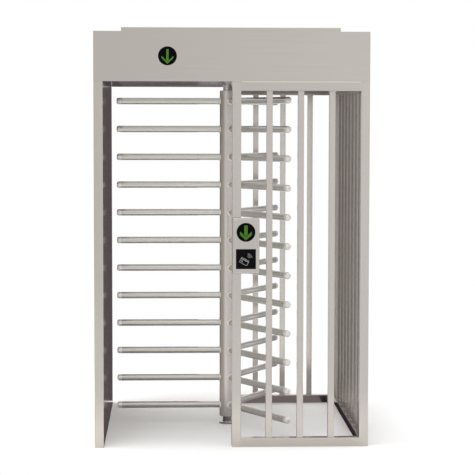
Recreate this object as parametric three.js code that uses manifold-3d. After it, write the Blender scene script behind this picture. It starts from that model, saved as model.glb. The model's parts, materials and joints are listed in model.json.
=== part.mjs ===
// Full height turnstile: one passage beside a barred cage, a closed panel on the left, a header box
// over both, and a rotor with three wings of arms that turns between a floor pivot and the header.
// Millimetres, +Z up. The rotor's axis is x = y = 0, the entry side faces -Y, the cage is at +X.
import * as THREE from 'three';
import { mergeVertices } from 'three/addons/utils/BufferGeometryUtils.js';
import Module from 'manifold-3d';

const wasm = await Module();
wasm.setup();

// Clearances shared by the whole object
const seat = 0.3;
const overrun = 5;
const runningFit = 0.05;

// Frame and cage
const frame = { side: 1500, clearHeight: 2000 };
const tube = { side: 50, wall: 2.5, cornerRadius: 4.5 };
const bar = { side: 34, wall: 2, cornerRadius: 3, acrossCount: 3, alongCount: 7 };
const panel = { sheet: 2, stiffenerWidth: 30, stiffenerWall: 2 };

// Header box and its lid
const header = { height: 270, sheet: 2, foldRadius: 3, upstand: 18 };
const lid = { inset: 146, height: 30, sheet: 2, lap: 30 };

// Rotor between the floor and the header
const pole = { radius: 44.5, wall: 3, neckGap: 35 };
const arm = { radius: 19, wall: 2, rows: 12, tipClearance: 52, tipFillet: 10, capWall: 11 };
const armMargin = { foot: 67, top: 62 };
const wingCount = 3;
const pivot = { flangeRadius: 47, flangeHeight: 10, bossHeight: 35 };
const spigot = { radius: 18, height: 60 };
const shaft = { radius: 25, plugLength: 60, aboveCeiling: 192, chamfer: 2 };

// Bearing deck inside the header
const crossmember = { side: 50, wall: 3, spacing: 250 };
const deck = { thickness: 10, margin: 8, shaftClearance: 4 };
const bearing = { outerRadius: 45, height: 29 };
const housing = { flangeSide: 150, flangeHeight: 14, cornerRadius: 20, bossRadius: 58 };
const housingLip = { height: 4, width: 10 };
const collar = { radius: 38, height: 12 };

// Gear pair and damper
const gearing = { module: 5, wheelTeeth: 48, pinionTeeth: 16, faceWidth: 20, flankRelief: 0.22 };
const dedendumShare = 1.25;
const wheelHub = { radius: 36, below: 7, above: 7 };
const wheelWindow = { count: 6, radius: 20, circleRadius: 74 };
const damper = { radius: 45, flangeSide: 104, flangeHeight: 8, headroom: 12 };
const damperShaft = { radius: 10, depth: 40 };

// Ratchet wheel, pawls and solenoids
const ratchet = { notches: 12, web: 14, below: 5, above: 11, damperClearance: 15 };
const notch = { depth: 14, rimHalf: 12, rootHalf: 8 };
const pawl = { reach: 90, rise: 12, hubRadius: 15, boreRadius: 9, armTop: 7, armFoot: 9, armEnd: 12 };
const nose = { bite: 11, tipHalf: 6, rootHalf: 9 };
const crank = { length: 40, half: 11, pinRadius: 4, pinPlay: 0.5, slotPlay: 2 };
const pawlSwing = THREE.MathUtils.degToRad(10);
const stud = { shoulder: 4, above: 4 };
const tongue = { thickness: 6, half: 9, root: 6 };
const plungerRod = { radius: 8, inside: 45, crankGap: 4, nakedLength: 6 };
const solenoid = { length: 60, width: 44, plate: 5, coilRadius: 19, endGap: 8, headHalf: 22 };

// Reader on the front cage post, arrow displays and control gear
const reader = { width: 148, height: 302, depth: 45, footHeight: 960, wall: 2, edge: 8, plate: 3 };
const display = { radius: 51, proud: 1, flangeWidth: 8, flange: 3, canInset: 6, canDepth: 22 };
const readerDisplay = { fromTop: 77 };
const headerDisplay = { fromLeft: 400, aboveFoot: 137 };
const cardReader = { side: 108, fromFoot: 25.5, proud: 1, flangeWidth: 5, flange: 3 };
const cardBody = { inset: 9, depth: 18 };
const controlBox = { width: 320, depth: 220, height: 96, fromSide: 180 };
const boxCover = { drop: 14, overhang: 4 };
const powerUnit = { width: 200, depth: 110, height: 60, gap: 60, ledge: 26, ledgeHeight: 14 };
const terminals = { count: 7, depth: 16, height: 18, barrier: 2.5, slot: 9 };

// How many sides stand for a circle
const sides = { pole: 18, arm: 12, armBore: 6, disc: 24, hub: 18, small: 12 };
const arcSteps = { softEdge: 2, corner: 2, barCorner: 1 };

// Places worked out from the sizes above
const half = frame.side / 2;
const postCentre = half - tube.side / 2;
const cagePostCentre = tube.side / 2;
const innerFace = half - tube.side;
const sheetPocket = panel.sheet + seat;
const boneWidth = tube.side - 2 * sheetPocket;
const poleFoot = pivot.flangeHeight + pivot.bossHeight;
const poleTop = frame.clearHeight - pole.neckGap;
const poleBore = pole.radius - pole.wall;
const armRoot = Math.sqrt(poleBore ** 2 - arm.radius ** 2);
const wingReach = innerFace - arm.tipClearance;
const headerFoot = frame.clearHeight + seat;
const headerTop = frame.clearHeight + header.height;
const ceilingTop = headerFoot + header.sheet;
const crossmemberFoot = ceilingTop + seat;
const deckFoot = crossmemberFoot + crossmember.side + seat;
const deckTop = deckFoot + deck.thickness;
const deckSeat = deckTop + seat;
const housingHeight = housingLip.height + bearing.height + 2 * seat;
const collarFoot = deckSeat + housingHeight + seat;
const ratchetFoot = collarFoot + collar.height + seat;
const webFoot = ratchetFoot + ratchet.below;
const ratchetHeight = ratchet.below + ratchet.web + ratchet.above;
const wheelFoot = ratchetFoot + ratchetHeight + seat;
const rimFoot = wheelFoot + wheelHub.below;
const wheelPitch = gearing.module * gearing.wheelTeeth / 2;
const pinionPitch = gearing.module * gearing.pinionTeeth / 2;
const gearCentres = wheelPitch + pinionPitch;
const ratchetRadius = gearCentres - damper.radius - ratchet.damperClearance;
const pawlAcross = ratchetRadius + pawl.rise;
const pinAcross = pawlAcross + crank.length * (1 + Math.cos(pawlSwing)) / 2;
const pinX = -pawl.reach - crank.length * pawlSwing;
const rodEnd = pinX - crank.half - plungerRod.crankGap;
const rodLevel = webFoot + ratchet.web + seat + tongue.thickness / 2;
const solenoidFace = rodEnd - plungerRod.nakedLength;
const deckHalfLength = gearCentres + damper.flangeSide / 2 + deck.margin;
const deckHalfWidth = pinAcross + solenoid.width / 2 + deck.margin;

const turnstile = new THREE.Group();

// Finishes
function finish(colour, roughness, metalness) {
  return new THREE.MeshStandardMaterial({ color: colour, roughness, metalness });
}
const brushed = () => finish('#bdb8b1', 0.42, 0.85);
const polished = () => finish('#cfcac3', 0.24, 0.95);
const blackGlass = () => finish('#0b0c0d', 0.12, 0.0);
const castIron = () => finish('#4c5054', 0.6, 0.6);
const machined = () => finish('#a7a9ab', 0.3, 0.9);
const zinc = () => finish('#9fa4a6', 0.45, 0.8);
const bronze = () => finish('#a9814a', 0.35, 0.85);
const greyPaint = () => finish('#8f9496', 0.55, 0.2);

// Adds a named piece at its place
function addPiece(name, geometry, material, position = [0, 0, 0], rotation = [0, 0, 0]) {
  const mesh = new THREE.Mesh(geometry, material);
  mesh.name = name;
  mesh.position.set(...position);
  mesh.rotation.set(...rotation);
  turnstile.add(mesh);
}

// Closed mesh to solid and back, for cutting and joining
function toSolid(geometry) {
  const bare = geometry.clone();
  bare.deleteAttribute('normal');
  bare.deleteAttribute('uv');
  const merged = mergeVertices(bare);
  return new wasm.Manifold(new wasm.Mesh({
    numProp: 3,
    vertProperties: new Float32Array(merged.attributes.position.array),
    triVerts: new Uint32Array(merged.index.array),
  }));
}

function fromSolid(solid) {
  const mesh = solid.getMesh();
  const geometry = new THREE.BufferGeometry();
  geometry.setAttribute('position', new THREE.BufferAttribute(new Float32Array(mesh.vertProperties), 3));
  geometry.setIndex(new THREE.BufferAttribute(new Uint32Array(mesh.triVerts), 1));
  geometry.computeVertexNormals();
  return geometry;
}

function joined(first, ...others) {
  return others.reduce((whole, other) => whole.add(toSolid(other)), toSolid(first));
}

function cut(solid, ...tools) {
  return tools.reduce((rest, tool) => rest.subtract(toSolid(tool)), solid);
}

// Basic shapes, each standing on z = 0 and centred on the Z axis
function block(width, depth, height) {
  return new THREE.BoxGeometry(width, depth, height).translate(0, 0, height / 2);
}

function rod(radius, height, count) {
  return new THREE.CylinderGeometry(radius, radius, height, count)
    .rotateX(Math.PI / 2)
    .translate(0, 0, height / 2);
}

function turned(profile, count) {
  const points = profile.map(([radius, height]) => new THREE.Vector2(radius, height));
  return new THREE.LatheGeometry(points, count).rotateX(Math.PI / 2);
}

function ring(innerRadius, outerRadius, height, count) {
  return turned([
    [innerRadius, 0],
    [outerRadius, 0],
    [outerRadius, height],
    [innerRadius, height],
    [innerRadius, 0],
  ], count);
}

function roundedRectangle(width, depth, radius) {
  const x = width / 2 - radius;
  const y = depth / 2 - radius;
  const outline = new THREE.Shape();
  outline.absarc(x, y, radius, 0, Math.PI / 2, false);
  outline.absarc(-x, y, radius, Math.PI / 2, Math.PI, false);
  outline.absarc(-x, -y, radius, Math.PI, 1.5 * Math.PI, false);
  outline.absarc(x, -y, radius, 1.5 * Math.PI, 2 * Math.PI, false);
  outline.closePath();
  return outline;
}

function extruded(outline, height, curveSegments = arcSteps.corner) {
  return new THREE.ExtrudeGeometry(outline, { depth: height, bevelEnabled: false, curveSegments });
}

function hollowTube(width, depth, wall, radius, length, curveSegments = arcSteps.corner) {
  const outside = extruded(roundedRectangle(width, depth, radius), length, curveSegments);
  const bore = block(width - 2 * wall, depth - 2 * wall, length + 2 * overrun).translate(0, 0, -overrun);
  return fromSolid(cut(toSolid(outside), bore));
}

const squareTube = (length) => hollowTube(tube.side, tube.side, tube.wall, tube.cornerRadius, length);
const alongX = [0, Math.PI / 2, 0];
const alongY = [-Math.PI / 2, 0, 0];

// A bore in which a round rod of the same number of sides turns freely
function boreFor(radius, count) {
  return (radius + runningFit) / Math.cos(Math.PI / count);
}

// Centres of equal bars with equal gaps between them
function barCentres(from, to, count) {
  const gap = (to - from - count * bar.side) / (count + 1);
  return Array.from({ length: count }, (_, index) => from + (index + 1) * gap + (index + 0.5) * bar.side);
}

// Closed panel on the left of the passage: posts, rails and stiffener between two flush skins
function addLeftPanel() {
  const span = 2 * (innerFace - seat);
  const bone = () => hollowTube(
    boneWidth, tube.side, tube.wall, tube.cornerRadius, span, arcSteps.barCorner,
  );
  addPiece('left_front_post', squareTube(frame.clearHeight), brushed(), [-postCentre, -postCentre, 0]);
  addPiece('left_rear_post', squareTube(frame.clearHeight), brushed(), [-postCentre, postCentre, 0]);
  addPiece('left_sill', bone(), brushed(), [-postCentre, -span / 2, tube.side / 2], alongY);
  const railLevel = frame.clearHeight - tube.side / 2;
  addPiece('left_head_rail', bone(), brushed(), [-postCentre, -span / 2, railLevel], alongY);
  const stiffener = hollowTube(
    boneWidth, panel.stiffenerWidth, panel.stiffenerWall, panel.stiffenerWall,
    frame.clearHeight - 2 * (tube.side + seat), arcSteps.barCorner,
  );
  addPiece('left_stiffener', stiffener, zinc(), [-postCentre, 0, tube.side + seat]);
  const skin = block(panel.sheet, span, frame.clearHeight);
  addPiece('left_inner_skin', skin, brushed(), [-innerFace - panel.sheet / 2, 0, 0]);
  addPiece('left_outer_skin', skin.clone(), brushed(), [-half + panel.sheet / 2, 0, 0]);
}

// Barred cage on the right: four posts, three head rails, three sills and upright bars
function addCage() {
  const places = {
    cage_front_left_post: [cagePostCentre, -postCentre],
    cage_front_right_post: [postCentre, -postCentre],
    cage_rear_left_post: [cagePostCentre, postCentre],
    cage_rear_right_post: [postCentre, postCentre],
  };
  for (const [name, [x, y]] of Object.entries(places)) {
    addPiece(name, squareTube(frame.clearHeight), brushed(), [x, y, 0]);
  }
  const headLevel = frame.clearHeight - tube.side / 2;
  const sillLevel = tube.side / 2;
  const across = innerFace - tube.side - 2 * seat;
  const along = 2 * (innerFace - seat);
  for (const [label, level] of [['head_rail', headLevel], ['sill', sillLevel]]) {
    const start = tube.side + seat;
    addPiece(`cage_front_${label}`, squareTube(across), brushed(), [start, -postCentre, level], alongX);
    addPiece(`cage_rear_${label}`, squareTube(across), brushed(), [start, postCentre, level], alongX);
    addPiece(`cage_side_${label}`, squareTube(along), brushed(), [postCentre, -along / 2, level], alongY);
  }
  const upright = () => hollowTube(
    bar.side, bar.side, bar.wall, bar.cornerRadius,
    frame.clearHeight - 2 * (tube.side + seat), arcSteps.barCorner,
  );
  const foot = tube.side + seat;
  barCentres(tube.side, innerFace, bar.acrossCount).forEach((x, index) => {
    addPiece(`front_bar_${index + 1}`, upright(), brushed(), [x, -postCentre, foot]);
    addPiece(`rear_bar_${index + 1}`, upright(), brushed(), [x, postCentre, foot]);
  });
  barCentres(-innerFace, innerFace, bar.alongCount).forEach((y, index) => {
    addPiece(`side_bar_${index + 1}`, upright(), brushed(), [postCentre, y, foot]);
  });
}

// Header box: a folded casing with a rain upstand round its service opening, the ceiling sheet and the lid
function addHeader() {
  const bodyHeight = header.height - seat;
  const outline = roundedRectangle(frame.side, frame.side, header.foldRadius);
  const inner = frame.side - 2 * header.sheet;
  const opening = frame.side - 2 * (lid.inset + lid.lap);
  const displayX = -half + headerDisplay.fromLeft;
  const displayHole = rod(display.radius + seat, header.sheet + 2 * overrun, sides.disc)
    .rotateX(Math.PI / 2)
    .translate(displayX, -half + header.sheet + overrun, headerDisplay.aboveFoot - seat);
  const upstandSide = opening + 2 * header.sheet;
  const upstand = block(upstandSide, upstandSide, header.upstand + header.sheet)
    .translate(0, 0, bodyHeight - header.sheet);
  const casing = cut(
    joined(extruded(outline, bodyHeight), upstand),
    block(inner, inner, bodyHeight - header.sheet + overrun).translate(0, 0, -overrun),
    block(opening, opening, bodyHeight + header.upstand + overrun),
    displayHole,
  );
  addPiece('header_casing', fromSolid(casing), brushed(), [0, 0, headerFoot]);
  const ceilingSide = inner - 2 * seat;
  const shaftHole = rod(shaft.radius + deck.shaftClearance, header.sheet + 2 * overrun, sides.hub)
    .translate(0, 0, -overrun);
  const ceiling = cut(
    toSolid(extruded(roundedRectangle(ceilingSide, ceilingSide, header.foldRadius), header.sheet)),
    shaftHole,
  );
  addPiece('header_ceiling', fromSolid(ceiling), brushed(), [0, 0, headerFoot]);
  const lidSide = frame.side - 2 * lid.inset;
  const lidHeight = lid.height - seat;
  const lidInside = lidSide - 2 * lid.sheet;
  const pan = cut(
    toSolid(extruded(roundedRectangle(lidSide, lidSide, header.foldRadius), lidHeight)),
    block(lidInside, lidInside, lidHeight - lid.sheet + overrun).translate(0, 0, -overrun),
  );
  addPiece('lid', fromSolid(pan), brushed(), [0, 0, headerTop + seat]);
}

// Round arrow display: a dark lens in front, a flange behind the sheet and the lamp's can
function displayModule(sheet) {
  const faceDepth = display.proud + sheet + seat;
  const flangeEnd = faceDepth + display.flange;
  return new THREE.LatheGeometry([
    [0, 0],
    [display.radius, 0],
    [display.radius, faceDepth],
    [display.radius + display.flangeWidth, faceDepth],
    [display.radius + display.flangeWidth, flangeEnd],
    [display.radius - display.canInset, flangeEnd],
    [display.radius - display.canInset, flangeEnd + display.canDepth],
    [0, flangeEnd + display.canDepth],
  ].map(([radius, depth]) => new THREE.Vector2(radius, depth)), sides.disc);
}

function addHeaderDisplay() {
  const place = [
    -half + headerDisplay.fromLeft,
    -half - display.proud,
    frame.clearHeight + headerDisplay.aboveFoot,
  ];
  addPiece('header_arrow_display', displayModule(header.sheet), blackGlass(), place);
}

// Reader housing on the front cage post: back plate, shell with soft edges, display and card reader
function addReader() {
  const centreX = reader.width / 2;
  const centreZ = reader.footHeight + reader.height / 2;
  const face = -half - reader.depth;
  const upright = [Math.PI / 2, 0, 0];
  const plate = extruded(roundedRectangle(reader.width, reader.height, reader.edge), reader.plate);
  addPiece('reader_back_plate', plate, brushed(), [centreX, -half - seat, centreZ], upright);
  const shellDepth = reader.depth - reader.plate - 2 * seat;
  const softBlock = new THREE.ExtrudeGeometry(
    roundedRectangle(reader.width - 2 * reader.edge, reader.height - 2 * reader.edge, reader.edge),
    {
      depth: shellDepth - reader.edge,
      bevelEnabled: true,
      bevelThickness: reader.edge,
      bevelSize: reader.edge,
      bevelSegments: arcSteps.softEdge,
      curveSegments: arcSteps.softEdge,
    },
  );
  const displayUp = reader.height / 2 - readerDisplay.fromTop;
  const cardUp = cardReader.fromFoot + cardReader.side / 2 - reader.height / 2;
  const innerWidth = reader.width - 2 * reader.wall;
  const innerHeight = reader.height - 2 * reader.wall;
  const cavity = block(innerWidth, innerHeight, shellDepth - reader.wall - reader.edge / 2 + overrun)
    .translate(0, 0, -overrun);
  const cavityFloor = block(
    innerWidth - reader.edge, innerHeight - reader.edge, shellDepth - reader.wall + overrun,
  ).translate(0, 0, -overrun);
  const backCut = block(2 * reader.width, 2 * reader.height, reader.edge + overrun)
    .translate(0, 0, -reader.edge - overrun);
  const lensHole = rod(display.radius + seat, shellDepth + overrun, sides.disc).translate(0, displayUp, 0);
  const cardSide = cardReader.side + 2 * seat;
  const cardHole = block(cardSide, cardSide, shellDepth + overrun).translate(0, cardUp, 0);
  const shell = cut(toSolid(softBlock), backCut, cavity, cavityFloor, lensHole, cardHole);
  addPiece('reader_housing', fromSolid(shell), brushed(), [centreX, face + shellDepth, centreZ], upright);
  addPiece(
    'reader_arrow_display', displayModule(reader.wall), blackGlass(),
    [centreX, face - display.proud, centreZ + displayUp],
  );
  const faceDepth = cardReader.proud + reader.wall + seat;
  const flangeSide = cardReader.side + 2 * cardReader.flangeWidth;
  const bodySide = cardReader.side - 2 * cardBody.inset;
  const card = joined(
    block(cardReader.side, cardReader.side, faceDepth + cardReader.flange / 2),
    block(flangeSide, flangeSide, cardReader.flange).translate(0, 0, faceDepth),
    block(bodySide, bodySide, cardBody.depth).translate(0, 0, faceDepth + cardReader.flange / 2),
  );
  addPiece(
    'card_reader', fromSolid(card), blackGlass(),
    [centreX, face - cardReader.proud, centreZ + cardUp], alongY,
  );
}

// Two crossmembers on the side walls' head rails, and the deck plate with the pawls' studs
function addDeck() {
  const span = frame.side - 2 * (header.sheet + seat);
  const level = crossmemberFoot + crossmember.side / 2;
  const beam = () => hollowTube(
    crossmember.side, crossmember.side, crossmember.wall, tube.cornerRadius, span, arcSteps.barCorner,
  );
  const offset = crossmember.spacing / 2;
  addPiece('front_crossmember', beam(), zinc(), [-span / 2, -offset, level], alongX);
  addPiece('rear_crossmember', beam(), zinc(), [-span / 2, offset, level], alongX);
  const shoulderTop = webFoot - seat - deckFoot;
  const studTop = webFoot + ratchet.web + stud.above - deckFoot;
  const studs = [1, -1].flatMap((side) => [
    rod(pawl.boreRadius + stud.shoulder, shoulderTop - overrun, sides.small)
      .translate(-pawl.reach, side * pawlAcross, overrun),
    rod(pawl.boreRadius, studTop - overrun, sides.small)
      .translate(-pawl.reach, side * pawlAcross, overrun),
  ]);
  const plate = extruded(
    roundedRectangle(2 * deckHalfLength, 2 * deckHalfWidth, deck.thickness), deck.thickness,
  );
  const hole = rod(shaft.radius + deck.shaftClearance, deck.thickness + 2 * overrun, sides.hub)
    .translate(0, 0, -overrun);
  const deckPlate = cut(joined(plate, ...studs), hole);
  addPiece('bearing_plate', fromSolid(deckPlate), zinc(), [0, 0, deckFoot]);
}

// Upper bearing in its flanged housing
function addUpperBearing() {
  const flange = extruded(
    roundedRectangle(housing.flangeSide, housing.flangeSide, housing.cornerRadius), housing.flangeHeight,
  );
  const boss = rod(housing.bossRadius, housingHeight, sides.hub);
  const pocket = rod(bearing.outerRadius, housingHeight, sides.hub).translate(0, 0, housingLip.height);
  const throat = rod(bearing.outerRadius - housingLip.width, housingHeight + 2 * overrun, sides.hub)
    .translate(0, 0, -overrun);
  const body = cut(joined(flange, boss), pocket, throat);
  addPiece('upper_bearing_housing', fromSolid(body), castIron(), [0, 0, deckSeat]);
  const race = ring(
    boreFor(shaft.radius, sides.hub), bearing.outerRadius - seat, bearing.height, sides.hub,
  );
  addPiece('upper_bearing', race, machined(), [0, 0, deckSeat + housingLip.height + seat]);
}

// Floor pivot and the bush that turns on it
function addFloorPivot() {
  const bossTop = pivot.flangeHeight + pivot.bossHeight - seat;
  const edge = shaft.chamfer;
  const foot = turned([
    [0, 0],
    [pivot.flangeRadius, 0],
    [pivot.flangeRadius, pivot.flangeHeight - edge],
    [pivot.flangeRadius - edge, pivot.flangeHeight],
    [shaft.radius, pivot.flangeHeight],
    [shaft.radius, bossTop],
    [spigot.radius, bossTop],
    [spigot.radius, bossTop + spigot.height - edge],
    [spigot.radius - edge, bossTop + spigot.height],
    [0, bossTop + spigot.height],
  ], sides.pole);
  addPiece('floor_pivot', foot, machined());
  const bush = ring(
    boreFor(spigot.radius, sides.pole), poleBore - seat, spigot.height, sides.pole,
  );
  addPiece('lower_bush', bush, bronze(), [0, 0, poleFoot]);
}

// One arm as a turned solid along +X with a slightly domed cap, and the bore inside it
function armBody() {
  const fillet = arm.tipFillet;
  const corner = (turn) => [
    arm.radius - fillet + fillet * Math.cos(turn),
    wingReach - fillet + fillet * Math.sin(turn),
  ];
  const profile = [
    [0, armRoot],
    [arm.radius, armRoot],
    corner(0),
    corner(Math.PI / 3),
    [0, wingReach],
  ];
  return new THREE.LatheGeometry(
    profile.map(([radius, reach]) => new THREE.Vector2(radius, reach)), sides.arm,
  ).rotateZ(-Math.PI / 2);
}

function armBore() {
  const start = armRoot - overrun;
  const length = wingReach - arm.capWall - start;
  return new THREE.CylinderGeometry(arm.radius - arm.wall, arm.radius - arm.wall, length, sides.armBore)
    .rotateZ(-Math.PI / 2)
    .translate(start + length / 2, 0, 0);
}

// Rotor column: the pole with every arm of its three wings welded on, all of them hollow
function addRotorColumn() {
  const poleHeight = poleTop - poleFoot;
  const rise = (poleHeight - armMargin.foot - armMargin.top) / (arm.rows - 1);
  let outside = toSolid(rod(pole.radius, poleHeight, sides.pole));
  let inside = toSolid(rod(poleBore, poleHeight + 2 * overrun, sides.pole).translate(0, 0, -overrun));
  for (let wing = 0; wing < wingCount; wing += 1) {
    const bearingAngle = Math.PI + wing * 2 * Math.PI / wingCount;
    for (let row = 0; row < arm.rows; row += 1) {
      const level = armMargin.foot + row * rise;
      outside = outside.add(toSolid(armBody().rotateZ(bearingAngle).translate(0, 0, level)));
      inside = inside.add(toSolid(armBore().rotateZ(bearingAngle).translate(0, 0, level)));
    }
  }
  addPiece('rotor_column', fromSolid(outside.subtract(inside)), polished(), [0, 0, poleFoot]);
}

// Shaft plugged into the pole's top, and the collar that keeps it in the bearing
function addRotorShaft() {
  const plugFoot = poleTop - shaft.plugLength;
  const top = frame.clearHeight + shaft.aboveCeiling - plugFoot;
  const stem = turned([
    [0, 0],
    [poleBore - seat, 0],
    [poleBore - seat, shaft.plugLength],
    [shaft.radius, shaft.plugLength],
    [shaft.radius, top - shaft.chamfer],
    [shaft.radius - shaft.chamfer, top],
    [0, top],
  ], sides.hub);
  addPiece('rotor_shaft', stem, machined(), [0, 0, plugFoot]);
  const clampRing = ring(shaft.radius + seat, collar.radius, collar.height, sides.hub);
  addPiece('shaft_collar', clampRing, machined(), [0, 0, collarFoot]);
}

// Ratchet wheel with a notch for the pawls every thirty degrees
function addRatchetWheel() {
  const outline = new THREE.Shape();
  const step = 2 * Math.PI / ratchet.notches;
  const rimAngle = Math.asin(notch.rimHalf / ratchetRadius);
  const root = Math.hypot(ratchetRadius - notch.depth, notch.rootHalf);
  const rootAngle = Math.atan2(notch.rootHalf, ratchetRadius - notch.depth);
  outline.moveTo(root * Math.cos(rootAngle), -root * Math.sin(rootAngle));
  for (let index = 0; index < ratchet.notches; index += 1) {
    const middle = index * step;
    outline.lineTo(root * Math.cos(middle + rootAngle), root * Math.sin(middle + rootAngle));
    outline.absarc(0, 0, ratchetRadius, middle + rimAngle, middle + step - rimAngle, false);
    const next = middle + step - rootAngle;
    outline.lineTo(root * Math.cos(next), root * Math.sin(next));
  }
  const web = extruded(outline, ratchet.web, arcSteps.corner).translate(0, 0, ratchet.below);
  const hub = rod(wheelHub.radius, ratchetHeight, sides.hub);
  const bore = rod(shaft.radius + seat, ratchetHeight + 2 * overrun, sides.hub).translate(0, 0, -overrun);
  const wheel = cut(joined(web, hub), bore);
  addPiece('ratchet_wheel', fromSolid(wheel), machined(), [0, 0, ratchetFoot]);
}

// Involute gear outline, thinned a little on each flank for backlash
function gearOutline(teeth, firstTooth) {
  const pressureAngle = THREE.MathUtils.degToRad(20);
  const pitch = gearing.module * teeth / 2;
  const base = pitch * Math.cos(pressureAngle);
  const root = pitch - dedendumShare * gearing.module;
  const tip = pitch + gearing.module;
  const involute = (angle) => Math.tan(angle) - angle;
  const halfAngleAt = (radius) => {
    const pressure = Math.acos(Math.min(1, base / radius));
    const atPitch = Math.PI / (2 * teeth) - gearing.flankRelief / pitch;
    return atPitch + involute(pressureAngle) - involute(pressure);
  };
  const flank = [root, pitch, tip];
  const points = [];
  for (let tooth = 0; tooth < teeth; tooth += 1) {
    const middle = firstTooth + tooth * 2 * Math.PI / teeth;
    const rising = flank.map((radius) => [radius, middle - halfAngleAt(radius)]);
    const falling = flank.map((radius) => [radius, middle + halfAngleAt(radius)]).reverse();
    points.push(...rising, ...falling);
  }
  return new THREE.Shape(points.map(
    ([radius, angle]) => new THREE.Vector2(radius * Math.cos(angle), radius * Math.sin(angle)),
  ));
}

// Drive gear on the rotor's shaft
function addDriveGear() {
  const outline = gearOutline(gearing.wheelTeeth, 0);
  for (let index = 0; index < wheelWindow.count; index += 1) {
    const angle = (index + 0.5) * 2 * Math.PI / wheelWindow.count;
    const window = new THREE.Path();
    const x = wheelWindow.circleRadius * Math.cos(angle);
    const y = wheelWindow.circleRadius * Math.sin(angle);
    window.absarc(x, y, wheelWindow.radius, 0, 2 * Math.PI, true);
    outline.holes.push(window);
  }
  const rim = extruded(outline, gearing.faceWidth, sides.small / 2).translate(0, 0, wheelHub.below);
  const hubHeight = wheelHub.below + gearing.faceWidth + wheelHub.above;
  const hub = rod(wheelHub.radius, hubHeight, sides.hub);
  const bore = rod(shaft.radius + seat, hubHeight + 2 * overrun, sides.hub).translate(0, 0, -overrun);
  addPiece('drive_gear', fromSolid(cut(joined(rim, hub), bore)), machined(), [0, 0, wheelFoot]);
}

// Rotary damper on the deck, driven by its pinion
function addDamper() {
  const bodyTop = rimFoot - damper.headroom;
  const bodyHeight = bodyTop - deckSeat;
  const flange = extruded(
    roundedRectangle(damper.flangeSide, damper.flangeSide, damper.flangeHeight), damper.flangeHeight,
  );
  const can = rod(damper.radius, bodyHeight, sides.hub);
  const bore = rod(boreFor(damperShaft.radius, sides.small), damperShaft.depth + overrun, sides.small)
    .translate(0, 0, bodyHeight - damperShaft.depth);
  const body = cut(joined(flange, can), bore);
  addPiece('damper_body', fromSolid(body), castIron(), [gearCentres, 0, deckSeat]);
  const shaftFoot = bodyTop - damperShaft.depth + seat;
  const teeth = extruded(gearOutline(gearing.pinionTeeth, Math.PI / gearing.pinionTeeth), gearing.faceWidth)
    .translate(0, 0, rimFoot - shaftFoot);
  const shaftTop = rimFoot + gearing.faceWidth + wheelHub.above;
  const stem = rod(damperShaft.radius, shaftTop - shaftFoot, sides.small);
  addPiece('damper_pinion', fromSolid(joined(teeth, stem)), machined(), [gearCentres, 0, shaftFoot]);
}

// Pawl seen from above with its pivot at the origin and its nose in the notch
function pawlOutline(side) {
  const outline = new THREE.Shape();
  const hubStart = Math.PI - Math.acos(crank.half / pawl.hubRadius);
  const hubEnd = 2 * Math.PI - Math.asin(pawl.armFoot / pawl.hubRadius);
  const noseTip = pawl.rise + nose.bite;
  outline.moveTo(pawl.reach - nose.rootHalf, -pawl.armFoot);
  outline.lineTo(pawl.reach - nose.tipHalf, -noseTip);
  outline.lineTo(pawl.reach + nose.tipHalf, -noseTip);
  outline.lineTo(pawl.reach + nose.rootHalf, -pawl.armFoot);
  outline.lineTo(pawl.reach + pawl.armEnd, -pawl.armFoot);
  outline.lineTo(pawl.reach + pawl.armEnd, pawl.armTop);
  outline.lineTo(crank.half, pawl.armTop);
  outline.lineTo(crank.half, crank.length);
  outline.absarc(0, crank.length, crank.half, 0, Math.PI, false);
  outline.lineTo(-crank.half, pawl.hubRadius * Math.sin(hubStart));
  outline.absarc(0, 0, pawl.hubRadius, hubStart, hubEnd, false);
  outline.closePath();
  const bore = new THREE.Path();
  bore.absarc(0, 0, boreFor(pawl.boreRadius, sides.small), 0, 2 * Math.PI, true);
  const slot = new THREE.Path();
  const slotRadius = crank.pinRadius + crank.pinPlay;
  slot.absarc(0, crank.length - crank.slotPlay, slotRadius, 2 * Math.PI, Math.PI, true);
  slot.absarc(0, crank.length + crank.slotPlay, slotRadius, Math.PI, 0, true);
  slot.closePath();
  outline.holes.push(bore, slot);
  const geometry = extruded(outline, ratchet.web, sides.small / 2);
  return side > 0 ? geometry : geometry.rotateX(Math.PI).translate(0, 0, ratchet.web);
}

// Plunger: a rod in the solenoid, a tongue over the pawl and a pin down into the pawl's slot
function plungerBody() {
  const rodLength = plungerRod.nakedLength + plungerRod.inside;
  const tongueLength = pinX - rodEnd + tongue.root;
  const stem = new THREE.CylinderGeometry(plungerRod.radius, plungerRod.radius, rodLength, sides.small)
    .rotateZ(Math.PI / 2)
    .translate(rodEnd - pinX - rodLength / 2, 0, 0);
  const flat = block(tongueLength, 2 * tongue.half, tongue.thickness)
    .translate(-tongueLength / 2, 0, -tongue.thickness / 2);
  const roundEnd = rod(tongue.half, tongue.thickness, sides.small).translate(0, 0, -tongue.thickness / 2);
  const pinLength = seat + ratchet.web + tongue.thickness / 2;
  const pin = rod(crank.pinRadius, pinLength, sides.small).translate(0, 0, -pinLength);
  return fromSolid(joined(stem, flat, roundEnd, pin));
}

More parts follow.
